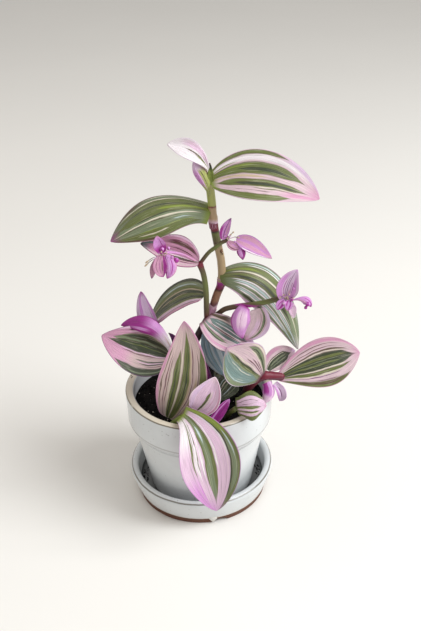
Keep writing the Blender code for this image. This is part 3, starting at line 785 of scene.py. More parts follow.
    Leaf("front_cupped_leaf", (-1.8, -36.2, 82.9), (4.6, -36, 92), (10, -32, 103), 18.5, cup=0.7,
         foot=0.5, field="blush", tip_colour="pink", margin="white", bands=(
        (-75, 30, "lavender"), (10, 15, "olive", 0, 72), (12, 5, "deep", 0, 60),
        (24, 5, "cream", 0, 80), (50, 3, "rose", 10, 90), (90, 14, "rose"))),
    Leaf("magenta_strip_leaf", (4, -34, 67.4), (12, -31, 77), (18, -26, 83), 6.5, cup=0.6, foot=0.6,
         field="magenta", tip_colour="lilac", margin="lilac", slot="magenta_leaf",
         bands=((-50, 30, "lilac"), (20, 6, "purple"))),
    Leaf("magenta_inner_leaf", (8, -11, 68.6), (6, -11, 83), (4, -8, 100), 6.5, cup=0.6, field="purple",
         tip_colour="magenta", slot="magenta_leaf", bands=((30, 30, "magenta", 10),)),
    Leaf("shadow_leaf_low", (22, -7.8, 85), (17, -13, 83), (10, -20, 77), 14, cup=0.4, field="deep",
         tip_colour="olive", margin="grey_green", bands=(
        (-60, 6, "grey_green", 5, 90), (-30, 5, "frost", 10, 90), (10, 10, "grey_green", 10, 90),
        (35, 4, "cream", 10, 90), (60, 6, "frost", 10, 80))),
    Leaf("shadow_leaf_high", (19.5, -5, 88), (14, -7, 88), (10, -8, 86), 12, cup=0.4,
         field="grey_green", tip_colour="teal", margin="frost",
         bands=((-30, 8, "frost", 0, 90), (30, 30, "deep", 10, 90))),
)

PETALS = (
    Petal("flower_1_upper_petal", (-16, -21.8, 177.5), (-18, -22.5, 182.5), (-19, -21, 187), 7,
          tip_colour="rose", bands=((0, 240, "magenta", 0, 50), (40, 10, "magenta", 20, 90))),
    Petal("flower_1_lower_petal", (-17, -22.5, 176), (-18, -25.5, 170.5), (-16.4, -26, 165), 8,
          field="rose", bands=(
        (-70, 50, "magenta"), (10, 6, "magenta", 0, 90), (-30, 10, "maroon", 10, 80),
        (55, 6, "maroon", 0, 90))),
    Petal("flower_1_bud", (-14.4, -22.2, 176), (-12.7, -26, 170.5), (-14.6, -27, 164.6), 8.4, cup=-1.0,
          bands=(
        (60, 30, "magenta"), (-30, 12, "magenta", 10, 90), (-80, 20, "rose"),
        (10, 10, "lavender", 20, 80))),
    Petal("flower_1_small_petal", (-20.5, -22, 173.5), (-22, -24, 168.5), (-23, -25, 163.5), 3.6,
          cup=0.4, field="rose", tip_colour="purple", margin="purple"),
    Petal("flower_2_upper_bract", (16, -11.5, 179.4), (17.3, -12, 185.5), (20.6, -12, 192), 5.4,
          cup=0.6, tip_colour="purple", margin="purple", bands=(
        (-70, 50, "magenta", 0, 70), (5, 14, "purple", 5), (50, 30, "rose", 10, 90))),
    Petal("flower_2_long_bract", (23.2, -12, 179.2), (31.4, -13, 176.2), (42.6, -14, 168.2), 9.2,
          tip_colour="rose", margin="purple", bands=(
        (-60, 50, "rose", 10, 90), (30, 50, "rose"), (88, 12, "white", 20), (72, 3, "maroon", 10, 90))),
    Petal("flower_2_lower_bract", (18.6, -12, 178.4), (21.5, -13.4, 176), (25.5, -14, 174.6), 5,
          cup=0.6, field="rose", tip_colour="lilac", margin="purple",
          bands=((60, 30, "maroon"), (-30, 30, "lilac", 30))),
    Petal("flower_2_bud", (24.6, -13.2, 176.5), (26, -15, 172.5), (26.6, -15, 168.6), 5.5, cup=-1.0,
          field="magenta", tip_colour="purple", margin="rose", base_colour="white",
          bands=((20, 80, "lilac", 0, 85), (-20, 6, "purple", 10))),
    Petal("flower_3_tall_bract", (51, -17, 143), (51.4, -18.4, 153.2), (56.4, -18, 163), 13, cup=0.6,
          foot=0.35, field="lavender", tip_colour="lilac", tip_start=0.97, bands=(
        (-70, 50, "lilac", 10, 90), (-30, 5, "magenta", 0, 80), (-14, 5, "purple", 5, 90),
        (2, 6, "purple"), (20, 10, "rose", 10, 50), (60, 40, "lilac", 0, 90), (45, 4, "purple", 20, 80),
        (30, 4, "magenta", 10, 80))),
    Petal("flower_3_left_petal", (49.6, -19, 144.5), (47, -20.4, 142.5), (45.6, -21, 139.5), 5,
          margin="purple", bands=((-50, 50, "magenta"), (30, 20, "magenta", 0, 80))),
    Petal("flower_3_right_petal", (52.2, -18.8, 144.3), (51.6, -21, 142.5), (50.8, -22, 139.5), 5,
          tip_colour="rose", margin="purple", bands=((-40, 30, "magenta"), (50, 40, "magenta", 0, 70))),
    Petal("flower_3_small_bract", (53, -19, 143), (54, -20, 138.5), (54.7, -20.2, 133.4), 4.6,
          field="blush", tip_colour="white", bands=((20, 10, "rose"),)),
    Petal("flower_3_side_bud", (54, -17.2, 143.4), (60.6, -17.6, 143.8), (64.6, -17.5, 139.2), 6,
          cup=-1.2, widest=0.7, foot=0.1, base_colour="white",
          bands=((40, 30, "rose"), (-30, 12, "magenta", 40))),
)


@dataclass
class Stem:
    """A stem through its route, swollen at the points in knots; bands are (height, colour)."""
    name: str
    route: tuple
    radius: float
    bands: tuple
    knots: tuple = ()


# The darkest bands on the lower stems paint the shade under the leaves as well as their old bark.
STEMS = (
    Stem("main_stem", ((-12, 4, 54), (-12, 4, 66), (-9, 2, 88), (-4, -1, 102), (2, -2, 115),
                       (8, -1, 126), (12, 0, 138), (15, 0, 147), (15, 0, 160), (13, 0, 172),
                       (11, 0, 186), (10.5, 0, 196), (9.5, 0, 207)), 2.3, (
        (66, "bark"), (124.5, "bark"), (125.5, "maroon"), (127, "rose"), (131, "rose"),
        (132, "pink"), (133, "maroon"), (135, "cane"), (141, "cane"), (142.4, "bark"), (143, "red"),
        (147.5, "magenta"), (148.5, "stem"), (150, "stem"), (168, "stem"), (172, "brown"),
        (178, "olive"), (179, "bark"), (180, "red"), (184, "red"), (185, "blush"),
        (187, "stem"), (193, "stem"), (193.8, "red"), (194.6, "young"), (207, "young")),
        knots=(5, 7, 10)),
    Stem("left_branch", ((6.0, -4.6, 126.3), (6, -5.6, 128), (6, -6, 132), (6, -6.5, 145),
                         (5, -7, 155), (3, -8, 163)), 1.6, (
        (126, "red"), (131, "brown"), (150, "olive"), (160, "brown"), (162, "red")),
        knots=(5,)),
    Stem("left_flower_stalk", ((3.8, -8.3, 164.3), (8, -9.5, 170.5), (12, -10, 174),
                               (15, -10, 176.5), (18, -10, 178)), 1.1, (
        (164, "red"), (166, "brown"), (175, "olive"), (178, "brown"))),
    Stem("right_branch", ((11.5, -3.4, 126.8), (13, -4.2, 128.5), (17, -7, 133), (25, -11, 137),
                          (33, -13, 139), (42, -15, 142), (48.7, -16.2, 145.2)), 1.5, (
        (127, "brown"), (137, "brown"), (138.4, "magenta"), (139.5, "brown"),
        (141, "olive"), (145, "brown"))),
    Stem("flower_1_stalk", ((0.5, -10.5, 166.4), (-6, -12, 171), (-12, -15, 174),
                            (-15.6, -19.1, 175.6)), 0.7, ((166, "rose"), (176, "lilac"))),
    Stem("left_shoot", ((-18, 2, 54), (-18, 2, 66), (-18, 1, 85), (-17, 0, 99)), 2.0, (
        (66, "bark"), (90, "bark"), (99, "red"))),
    Stem("front_shoot", ((-17, -30, 54), (-17, -30, 66), (-15, -32, 71), (-11, -34.5, 76),
                         (-8, -35.8, 78.6), (-4, -36.3, 80.4)), 1.8, (
        (66, "bark"), (70, "olive"), (80, "spring"))),
    Stem("front_right_shoot", ((16, -24, 54), (16, -24, 66), (18, -29, 75),
                               (21.2, -33.2, 81.2)), 1.5, ((66, "bark"), (81, "olive"))),
    Stem("inner_shoot", ((18, -2, 54), (18, -2, 66), (20, -3, 76), (22, -5, 85)), 1.8, (
        (66, "bark"), (85, "brown"))),
    Stem("right_shoot", ((25, -10, 54), (25, -10, 66), (28, -13, 78), (32, -16, 87),
                         (38, -17, 92.5), (44, -16.5, 92), (49, -16, 91)), 2.5, (
        (66, "bark"), (80, "bark"), (88, "red"), (91.6, "maroon"), (92.3, "red")),
        knots=(4,)),
)

# Flower middles and their radii, and the thin stamens (from, to) that stand out of them
FLOWER_CENTERS = (
    ("flower_1_center", (-16.5, -21, 175.8), 1.5, (
        ((-17.5, -22, 175.5), (-26, -24, 172.5)), ((-17.5, -22, 175), (-26.5, -24, 170.5)),
        ((-16, -22.5, 176), (-14, -25.5, 179)), ((-16.5, -22.5, 176.5), (-17, -26, 180)))),
    ("flower_2_center", (19, -11, 179.8), 1.1, (
        ((19.5, -11.8, 180.2), (22, -13, 184.5)), ((20, -11.8, 180), (25, -13.5, 181)),
        ((19, -12, 180.4), (20.5, -14, 183.5)))),
    ("flower_3_center", (50.8, -17.3, 146.1), 1.5, (
        ((50.5, -18.5, 147), (48.5, -21, 149)), ((51.3, -18.5, 147.3), (52, -21.5, 149.5)),
        ((50, -18.5, 146.5), (46.5, -20.5, 147)), ((52, -18.5, 146), (54.5, -21, 146.5)))),
)

# Small round buds: their centres and radii
KNOBS = (
    ("flower_1_knobs", ((-16.6, -23.2, 180.2), (-13.2, -23, 180.6), (-9.4, -22.6, 173.2),
                        (-11.4, -23, 175.2), (-18.6, -23, 178)), (1.3, 1.1, 1.7, 1.0, 0.8)),
    ("flower_2_knobs", ((17.4, -12.4, 181.6), (22.4, -12.8, 178.4)), (0.8, 0.7)),
    ("flower_3_knobs", ((49.4, -20.2, 143.6), (52.2, -20, 142), (48.2, -20.4, 141.4),
                        (53.6, -19.4, 145), (54.2, -20, 152.4), (62.6, -18.2, 141.2),
                        (61.6, -18.2, 139)), (1.5, 1.3, 1.2, 1.0, 0.9, 1.7, 1.2)),
)

# Papery sheaths: the middles of their lower and upper ends, radius at the rim and colour
SHEATHS = (
    ("upper_sheath", (11.3, 0, 181.2), (10.9, 0, 184.8), 2.65, "red"),
    ("middle_sheath", (15, 0, 144.8), (15.2, 0, 148.8), 2.7, "red"),
    ("lower_sheath", (7.2, -1.1, 125.2), (9.6, -0.6, 131.2), 2.85, "rose"),
)
SHEATH_GRIP = 2.5      # radius where a sheath leaves the stem
SHEATH_WALL = 0.25
SHEATH_SLANT = 0.22    # how much longer one side of a sheath is, and the other shorter

# Lumps of the scar that a side bud left on the stem: their centres and radii
BUD_SCAR = ((15.2, -2.1, 167.2), (15.4, -2.5, 168.6), (15.7, -2.5, 165.9)), (1.1, 0.7, 0.6)

# Swellings at a joint of a stem: extra radius as a share, distance past the joint, and width
SWELLINGS = ((0.16, 0, 2.5), (0.08, 1.5, 0.5))

CLUSTER_BUDS = 14      # round buds in the middle of a flower


# Stems and flowers

def stem_material(stem):
    """Bands of colour by height, and fine streaks along the stem."""
    look = colours()
    paint = Paint(stem.name, 0.45)
    place = paint.place()
    height = paint.split(place)[2]
    across, along = paint.surface()
    low, high = stem.bands[0][0] * MM, stem.bands[-1][0] * MM
    wobble = paint.noise(place, 300.0)
    share = (height - low) / (high - low) + (wobble - 0.5) * 0.02
    stops = [((z * MM - low) / (high - low), getattr(look, name)) for z, name in stem.bands]
    colour = paint.add("ShaderNodeValToRGB", {0: share}, stops=stops)
    streaks = paint.noise((across * 14, along * 3, 2.0), 2.0, 4.0)
    paint.feed("Base Color", paint.scaled(colour, 0.72 + streaks * 0.56))
    paint.feed("Roughness", 0.36 + streaks * 0.2)
    paint.bump(streaks, 0.4, 0.0003)
    return paint.material


def swellings(points, knots, radius):
    """Radius along a stem, with a low collar at each knot and a narrow ring above it."""
    travel = np.concatenate([[0], np.cumsum(np.linalg.norm(np.diff(points, axis=0), axis=1))])
    factor = np.ones(len(points))
    for knot in knots:
        here = travel[np.argmin(np.linalg.norm(points - np.array(knot, float), axis=1))]
        for extra, past, width in SWELLINGS:
            factor += extra * np.exp(-((travel - here - past) / width) ** 2)
    return radius * factor


def domed(points, radii):
    """The same run with a rounded end added, nearly closed at its last ring."""
    ahead = points[-1] - points[-2]
    ahead = ahead / np.linalg.norm(ahead)
    share = np.linspace(0.15, 1, 7)
    dome = points[-1] + ahead * (share * radii[-1] * 0.8)[:, None]
    cap = radii[-1] * np.sqrt(1 - (share * 0.97) ** 2)
    return np.concatenate([points, dome]), np.concatenate([radii, cap])


def make_stem(stem):
    """A round stem with its swellings and a domed end."""
    points = smooth_route(stem.route, 0.8)
    radii = swellings(points, [stem.route[knot] for knot in stem.knots], stem.radius)
    item = tube(stem.name + "_skin", *domed(points, radii))
    finish_piece(item, [stem.name], "stem", stem_material(stem))


def sheath_material(name, shade):
    """Papery sheath with fine pale lines along it and a pink rim."""
    look = colours()
    paint = Paint(name, 0.5)
    across, along = paint.surface()
    lines = paint.noise((across * 12, along * 0.6, 3.0), 2.4, 3.0)
    colour = paint.mix(lines.rises(0.4, 0.7) * 0.5, getattr(look, shade), look.blush)
    colour = paint.mix(along.rises(0.8, 0.98) * 0.7, colour, look.pink)
    paint.feed("Base Color", paint.scaled(colour, 0.8 + lines * 0.35))
    paint.bump(lines, 0.4, 0.0003)
    return paint.material


def grainy_material(name, roughness, scale, detail, relief, colour, *layers):
    """A grainy skin; each layer is (low, high, colour), laid where the grain passes low to high."""
    paint = Paint(name, roughness)
    grain = paint.noise(paint.place(), scale, detail)
    for low, high, shade in layers:
        colour = paint.mix(grain.rises(low, high), colour, shade)
    paint.feed("Base Color", colour)
    paint.bump(grain, relief, 0.0004)
    return paint.material


def make_sheath(name, low, high, rim, shade):
    """A thin open sleeve round a stem, its rim slanted."""
    low, high = np.array(low, float), np.array(high, float)
    axis = (high - low) / np.linalg.norm(high - low)
    side = np.cross(axis, (0, 1, 0))
    side /= np.linalg.norm(side)
    front = np.cross(axis, side)

    def surface(across, along):
        angle = np.pi * across
        radius = SHEATH_GRIP + (rim - SHEATH_GRIP) * along ** 2
        slant = 1 + SHEATH_SLANT * np.sin(angle + 1) * along
        middle = low + (high - low) * (along * slant)[:, None]
        ring = side * np.cos(angle)[:, None] + front * np.sin(angle)[:, None]
        return middle + ring * radius[:, None]

    item = bent_sheet(name, 32, 10, surface)
    bpy.ops.object.mode_set(mode="EDIT")
    weld()
    solidify = item.modifiers.new("Wall", "SOLIDIFY")
    solidify.thickness = SHEATH_WALL * MM
    solidify.offset = 1
    apply_modifiers(item)
    smooth(item)
    finish_piece(item, [], "stem", sheath_material(name, shade))


def stamen_material():
    """Lilac thread that turns brown, with a beige anther."""
    look = colours()
    paint = Paint("stamen", 0.5)
    _, along = paint.surface()
    colour = paint.mix(along.rises(0.3, 0.6), look.lilac, look.brown)
    paint.feed("Base Color", paint.mix(along.rises(0.72, 0.8), colour, look.beige))
    return paint.material


def make_flower_center(name, place, radius, stamens, material, stamen_look):
    """A cluster of small round buds where the petals meet, and its thin stamens."""
    chance = np.random.default_rng(len(stamens) + int(place[2]))
    spots = np.array(place) + chance.normal(0, 0.42 * radius, (CLUSTER_BUDS, 3))
    radii = chance.uniform(0.35, 0.6, CLUSTER_BUDS) * radius
    item = scattered(name + "_cluster", spots, radii, 7, flatness=0.9, subdivisions=2)
    finish_piece(item, [name], "flower_center", material)
    for number, (start, end) in enumerate(stamens, 1):
        start, end = np.array(start, float), np.array(end, float)
        middle = (start + end) / 2 + (0, 0, 0.12 * np.linalg.norm(end - start))
        points = smooth_route((start, middle, end), 0.25)
        share = np.linspace(0, 1, len(points))
        anther = np.exp(-((share - 0.88) / 0.09) ** 2)
        radii = 0.18 + 0.32 * anther - 0.1 * (share > 0.985)
        stamen = tube(f"{name}_stamen_{number}", points, radii, 10)
        finish_piece(stamen, [], "flower_center", stamen_look)


# Pot, saucer and soil

POT_WALL = 5.0
COLLAR_DROP = 19.0       # from the lip to the collar's lower edge
STEP_DROP = 27.0         # from the lip to the top of the tapered body
BODY_INSET = 4.7         # how far the body's top lies inside the lip
COLLAR_INSET = 0.5
BASE_INSET = 12.5
DRAIN_RADIUS = 5.0
SHOULDER_RISE = 2.0      # from the collar's lower edge to the shoulder inside the pot
INNER_ROUND = 2.0        # rounding inside the lip and round the floor
LIP_ROUND = 1.2
FOOT_ROUND = 1.5

CLAY_FOOT = 3.6          # height of the saucer's bare foot
SAUCER_FOOT_INSET = 4.6
NOTCH_X = 11.0
NOTCH_WIDTH = 10.0
NOTCH_HEIGHT = 2.4
DRIP_X = 6.4
DRIP_SIZE = (2.7, 1.0, 2.0)

SOIL_INSET = 12.0        # how far the soil's foot lies inside its edge
SOIL_CROWN = 2.6         # how far the soil's middle stands above its edge
LUMPLESS_EDGE = 3.0      # the lumps fade out this near to the pot's wall
SHORE = 1.4              # strip along the pot's wall without crumbs


def arc(radius, height, size, start, end, pieces=6):
    """Points (radius, height) round a corner, angles in degrees from +X."""
    angles = np.radians(np.linspace(start, end, pieces + 1))
    return [(radius + size * np.cos(a), height + size * np.sin(a)) for a in angles]


def reach(node):
    """Radius, bottom and top of a round node of the construction, in millimetres."""
    low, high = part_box(node)
    return high[0] / MM, low[2] / MM, high[2] / MM


def glazed(paint, bands):
    """White glaze with faint waves; each band is (mask, colour) painted over it."""
    look = pot_colours()
    place = paint.place()
    clouds = paint.noise(place, 38.0, 3.0)
    specks = paint.noise(place, 700.0, 1.0)
    colour = paint.mix(clouds.rises(0.35, 0.7), look.glaze, paint.scaled(look.glaze, 0.93))
    colour = paint.mix(specks.rises(0.72, 0.76) * 0.35, colour, look.line)
    for mask, shade in bands:
        colour = paint.mix(mask, colour, shade)
    paint.feed("Base Color", colour)
    return clouds


def pot_material(rim, top, collar):
    """Glaze with a cream lip, a dark line at its outer edge and a soft double line at the step."""
    look = pot_colours()
    paint = Paint("pot_glaze", 0.16, 0.3)
    place = paint.place()
    x, y, z = paint.split(place)
    radius = (x * x + y * y) ** 0.5
    uneven = (paint.noise(place, 60.0, 3.0) - 0.5) * 1.6 * MM
    line = sizes().rim_line
    outer = radius.rises(rim - 1.1 * MM, rim - 0.8 * MM)
    dark = abs(z + uneven * 0.25 - (top - 0.55 * MM)).falls(line * 0.3, line) * outer
    dark = dark * paint.noise(place, 120.0).rises(0.2, 0.4)
    lip = (z + uneven * 0.4).rises(top - 1.0 * MM, top - 0.5 * MM)
    step = abs(z - (collar + uneven * 0.3)).falls(0.2 * MM, 0.8 * MM) * 0.4
    lower = abs(z - (collar - 5.5 * MM + uneven * 0.3)).falls(0.1 * MM, 0.9 * MM) * 0.25
    worn = paint.noise(place, 330.0, 4.0).rises(0.62, 0.68) * lip * (x - y).falls(-0.05, -0.03)
    clouds = glazed(paint, ((lip * 0.85, look.cream_glaze), (step, look.line),
                            (lower, look.line), (worn, look.line), (dark * 0.85, look.line)))
    paint.feed("Roughness", 0.1 + clouds * 0.16)
    paint.bump(clouds, 0.25, 0.001)
    return paint.material


def saucer_material(rim, top):
    """The pot's glaze over a bare clay foot, with a wavy lower edge."""
    look = pot_colours()
    paint = Paint("saucer_glaze", 0.16, 0.3)
    place = paint.place()
    x, y, z = paint.split(place)
    radius = (x * x + y * y) ** 0.5
    wave = paint.noise(place, 90.0, 3.0) - 0.5
    line = sizes().rim_line
    outer = radius.rises(rim - 1.5 * MM, rim - 1.1 * MM)
    dark = abs(z + wave * 0.5 * MM - (top - 0.75 * MM)).falls(line * 0.3, line) * outer
    dark = dark * paint.noise(place, 110.0).rises(0.2, 0.4)
    bare = (z + wave * 1.8 * MM).falls((CLAY_FOOT - 0.3) * MM, (CLAY_FOOT + 0.1) * MM)
    skin = abs(z + wave * 1.8 * MM - (CLAY_FOOT + 0.5) * MM).falls(0.1 * MM, 0.7 * MM)
    grain = paint.noise(place, 420.0, 4.0)
    clay = paint.mix(grain, paint.scaled(look.clay, 0.6), paint.scaled(look.clay, 1.25))
    # Soil stain and painted shade: the trough's floor inside the rim is darkened in patches towards the
    # soil's colour, for soil dirt and for the shade that the pot casts there.
    trough = z.falls(7.0 * MM, 9.5 * MM) * radius.falls(rim - 5.5 * MM, rim - 4.5 * MM)
    soil_stain_and_shade = (grain + trough * 0.5).rises(0.62, 0.85) * trough
    clouds = glazed(paint, ((dark * 0.8, look.line), (skin * 0.6, look.cream_glaze),
                            (soil_stain_and_shade * 0.75, look.soil), (bare, clay)))
    paint.feed("Roughness", 0.12 + clouds * 0.14 + bare * 0.6)
    paint.feed("Coat Weight", (1 - bare) * 0.3)
    paint.bump(grain * bare + clouds, 0.3, 0.0008)
    return paint.material


def make_pot():
    """A tapered pot with a collar, a stepped shoulder and a drain hole."""
    rim, base, top = reach("pot")
    foot, step_top = rim - BASE_INSET, top - STEP_DROP
    body, collar = rim - BODY_INSET, rim - COLLAR_INSET
    inner, floor = rim - POT_WALL, base + POT_WALL
    corner = foot - POT_WALL - INNER_ROUND
    step = [(body + (collar - body) * (3 - 2 * t) * t * t,
             step_top + (STEP_DROP - COLLAR_DROP) * t) for t in np.linspace(1, 0, 9)]
    profile = [    # up the inside, over the lip and down the outside to the drain hole
        (DRAIN_RADIUS, floor), (corner, floor),
        *arc(corner, floor + INNER_ROUND, INNER_ROUND, -90, 0),
        (body - POT_WALL, step_top), (inner, top - COLLAR_DROP + SHOULDER_RISE),
        (inner, top - INNER_ROUND),
        *arc(inner + INNER_ROUND, top - INNER_ROUND, INNER_ROUND, 180, 90),
        *arc(rim - LIP_ROUND, top - LIP_ROUND, LIP_ROUND, 90, 0),
        *step, *arc(foot - FOOT_ROUND, base + FOOT_ROUND, FOOT_ROUND, 0, -90),
        (DRAIN_RADIUS, base), (DRAIN_RADIUS, floor),
    ]
    item = turned("pot_glazed", profile)
    material = pot_material(rim * MM, top * MM, (top - COLLAR_DROP) * MM)
    finish_piece(item, ["pot"], "white_glaze", material)


def make_saucer():
    """A dished saucer with a notch cut in the front of its bare foot."""
    rim, _, top = reach("saucer")
    inner, half = rim - POT_WALL, POT_WALL / 2
    foot = rim - SAUCER_FOOT_INSET
    profile = [    # the trough, the round rim, and the glaze's edge over the bare foot
        (0, POT_WALL), (inner - 4, POT_WALL),
        *arc(inner - 3.2, POT_WALL + INNER_ROUND, INNER_ROUND, -90, -10),
        (inner, top - half), *arc(rim - half, top - half, half, 180, 0, 12),
        (foot + 0.8, CLAY_FOOT + 0.8), (foot + 0.55, CLAY_FOOT + 0.25), (foot, CLAY_FOOT),
        *arc(foot - 0.5, 0.5, 0.5, 0, -90, 3), (0, 0),
    ]
    item = turned("saucer_glazed", profile)
    turn = np.arcsin(NOTCH_X / foot)
    deselect()
    bpy.ops.mesh.primitive_cylinder_add(
        vertices=40, radius=NOTCH_WIDTH / 2 * MM, depth=16 * MM, rotation=(np.pi / 2, 0, turn),
        location=(NOTCH_X * MM, -foot * MM * np.cos(turn), 0))
    cutter = bpy.context.object
    cutter.scale = (1, NOTCH_HEIGHT / (NOTCH_WIDTH / 2), 1)
    cut = item.modifiers.new("Notch", "BOOLEAN")
    cut.operation = "DIFFERENCE"
    cut.object = cutter
    apply_modifiers(item)
    bpy.data.objects.remove(cutter)
    smooth(item, 40)
    finish_piece(item, ["saucer"], "white_glaze", saucer_material(rim * MM, top * MM))


def make_drip():
    """A thick cream drip of glaze that hangs over the clay foot beside the notch."""
    foot = reach("saucer")[0] - SAUCER_FOOT_INSET
    deselect()
    bpy.ops.mesh.primitive_uv_sphere_add(segments=32, ring_count=20, radius=MM)
    item = bpy.context.object
    item.name = item.data.name = "glaze_drip"
    x, y, z = vertices_of(item).T / MM
    droop = 1 + 0.35 * np.clip(-z, 0, 1)    # its lower half is longer and narrower
    wide, deep, tall = DRIP_SIZE
    places = np.stack([x * wide / droop ** 2 + DRIP_X, y * deep - foot + 0.1,
                       z * tall * droop + CLAY_FOOT], 1)
    move_vertices(item, places * MM)
    smooth(item)
    look = pot_colours()
    paint = Paint("drip_glaze", 0.15, 0.4)
    clouds = paint.noise(paint.place(), 300.0)
    paint.feed("Base Color", paint.mix(clouds, look.glaze, look.cream_glaze))
    finish_piece(item, [], "white_glaze", paint.material)


def soil_material(name, grains):
    """Damp black-brown soil, clumped and rough."""
    look = pot_colours()
    paint = Paint(name, 0.9)
    place = paint.place()
    clumps = paint.noise(place, 260.0, 5.0)
    shade = paint.mix(clumps.rises(0.35, 0.7), paint.scaled(look.soil, 0.45),
                      paint.scaled(look.soil, 1.7))
    bits = paint.noise(place, 900.0).rises(0.7, 0.76)
    paint.feed("Base Color", paint.mix(bits * grains, shade, look.perlite))
    paint.shader.inputs["Specular IOR Level"].default_value = 0.12
    paint.bump(clumps, 0.9, 0.002)
    return paint.material


def soil_height(x, y):
    """Height of the lumps on the soil at a place, in millimetres."""
    return np.array([1.1 * noise.noise(Vector((a * 0.16, b * 0.16, 0)))
                     + 0.7 * noise.noise(Vector((a * 0.45, b * 0.45, 5)))
                     for a, b in zip(x, y)])


def make_soil():
    """Soil that fills the pot, with a low crown and a lumpy surface."""
    edge, bottom, top = reach("potting_soil")
    base = edge - SOIL_INSET
    profile = [    # up the tapered wall and the pot's shoulder, then inwards over the crown
        (0, bottom), (base - 2, bottom), (base, bottom + 2), (edge - 4.7, bottom + 38.4),
        (edge, bottom + 48.5), (edge, top - 3.0),
        *((r, top - SOIL_CROWN * (r / edge) ** 2) for r in np.arange(edge - 0.6, 1, -1.0)),
        (0, top),
    ]
    item = turned("soil_surface", profile)
    places = vertices_of(item) / MM
    surface = places[:, 2] > top - SOIL_CROWN - 0.9
    lumps = soil_height(places[surface, 0], places[surface, 1])
    inside = np.clip((edge - np.hypot(*places[surface, :2].T)) / LUMPLESS_EDGE, 0, 1)
    places[surface, 2] += lumps * inside
    move_vertices(item, places * MM)
    finish_piece(item, ["potting_soil"], "soil", soil_material("soil_ground", 0.6))


def make_crumbs():
    """Loose crumbs and pale grains on the soil, in the saucer's trough and on the lip."""
    edge, _, top = reach("potting_soil")
    edge -= SHORE
    count, crumb = sizes().crumbs, sizes().crumb / MM
    chance = np.random.default_rng(11)
    radius = edge * np.sqrt(chance.uniform(0, 1, count))
    angle = chance.uniform(0, 2 * np.pi, count)
    x, y = radius * np.cos(angle), radius * np.sin(angle)
    z = top - SOIL_CROWN * (radius / edge) ** 2 + soil_height(x, y) + 0.2
    size = crumb * chance.uniform(0.4, 1.5, count)
    places = np.stack([x, y, z], 1)
    pale = np.arange(count) % 9 == 0
    crumb_look = soil_material("soil_crumb", 0.0)
    dark = scattered("soil_crumbs", places[~pale], size[~pale], 3)
    finish_piece(dark, [], "soil", crumb_look)
    grains = scattered("perlite_grains", places[pale], 0.45 * size[pale], 4)
    paint = Paint("perlite", 0.85)
    chalk = paint.noise(paint.place(), 1500.0)
    paint.feed("Base Color", paint.scaled(pot_colours().perlite, 0.6 + chalk * 0.6))
    finish_piece(grains, [], "soil", paint.material)
    pot_rim, _, pot_top = reach("pot")
    trough = 0.5 * (reach("saucer")[0] - POT_WALL + pot_rim - BASE_INSET)
    rim, lip, ground = pot_rim - POT_WALL / 2, pot_top + 0.2, POT_WALL + 0.3
    fallen = (     # angles in degrees, distance from the middle, height, count
        (165, 235, trough, ground, 60), (-55, 15, trough, ground, 50), (125, 170, rim, lip, 16))
    for number, (start, end, spread, height, amount) in enumerate(fallen, 1):
        turn = np.radians(chance.uniform(start, end, amount))
        out = spread + chance.uniform(-1.4, 1.6, amount)
        spots = np.stack([out * np.cos(turn), out * np.sin(turn), np.full(amount, height)], 1)
        crumbs = scattered(f"fallen_crumbs_{number}", spots, chance.uniform(0.3, 0.8, amount), 5)
        finish_piece(crumbs, [], "soil", crumb_look)


# Stage

PLANT_MIDDLE = (0.0082, 0.0, 0.1246)     # what the camera looks at, in metres
LIT_MIDDLE = (0.0, 0.0, 0.11)
LIGHTS = (     # name, place, width, setting of its power, colour
    ("key", (0.85, -0.3, 0.95), 0.8, "key", (0.95, 0.98, 1.0)),
    ("room", (-0.7, 0.2, 1.0), 0.9, "fill", (1.0, 0.95, 0.88)),
)
SURROUND = (1.0, 0.98, 0.95, 1), 0.5     # colour and strength


def make_floor(stage):
    """A pale floor with the faintest mottling."""
    deselect()
    bpy.ops.mesh.primitive_plane_add(size=8)
    floor = bpy.context.object
    floor.name = "floor"
    paint = Paint("floor", 0.75)
    mottling = 0.98 + 0.04 * paint.noise(paint.place(), 4.0)
    paint.feed("Base Color", paint.scaled(stage.floor, mottling))
    floor.data.materials.append(paint.material)


def make_lights(stage):
    """One wide window-like light, a warmer one across from it, and a bright even surround."""
    for name, place, size, power, colour in LIGHTS:
        facing = (Vector(place) - Vector(LIT_MIDDLE)).to_track_quat("Z", "Y").to_euler()
        bpy.ops.object.light_add(type="AREA", location=place, rotation=facing)
        light = bpy.context.object
        light.name = name
        light.data.size = size
        light.data.energy = getattr(stage, power)
        light.data.color = colour
    world = bpy.data.worlds.new("surround")
    bpy.context.scene.world = world
    world.use_nodes = True
    background = world.node_tree.nodes["Background"].inputs
    background["Color"].default_value, background["Strength"].default_value = SURROUND


def make_camera(stage):
    """Looks down at the plant from the front, leaning a little."""
    facing = Euler((np.pi / 2 - stage.elevation, 0, 0)).to_matrix() @ Matrix.Rotation(
        stage.roll, 3, "Z")
    place = Vector(PLANT_MIDDLE) + facing @ Vector((0, 0, stage.distance))
    bpy.ops.object.camera_add(location=place, rotation=facing.to_euler())
    camera = bpy.context.object
    camera.data.lens = stage.lens
    camera.data.clip_start = 0.01
    bpy.context.scene.camera = camera


# Operators

class PLANT_OT_pot(bpy.types.Operator):
    """Model the glazed pot"""
    bl_idname = "plant.pot"
    bl_label = "Pot"

    def execute(self, context):
        make_pot()
        return {"FINISHED"}


class PLANT_OT_saucer(bpy.types.Operator):
    """Model the saucer with its notch and its drip of glaze"""
    bl_idname = "plant.saucer"
    bl_label = "Saucer"

    def execute(self, context):
        make_saucer()
        make_drip()
        return {"FINISHED"}


class PLANT_OT_soil(bpy.types.Operator):
    """Fill the pot with soil and scatter crumbs"""
    bl_idname = "plant.soil"
    bl_label = "Soil"

    def execute(self, context):
        make_soil()
        make_crumbs()
        return {"FINISHED"}


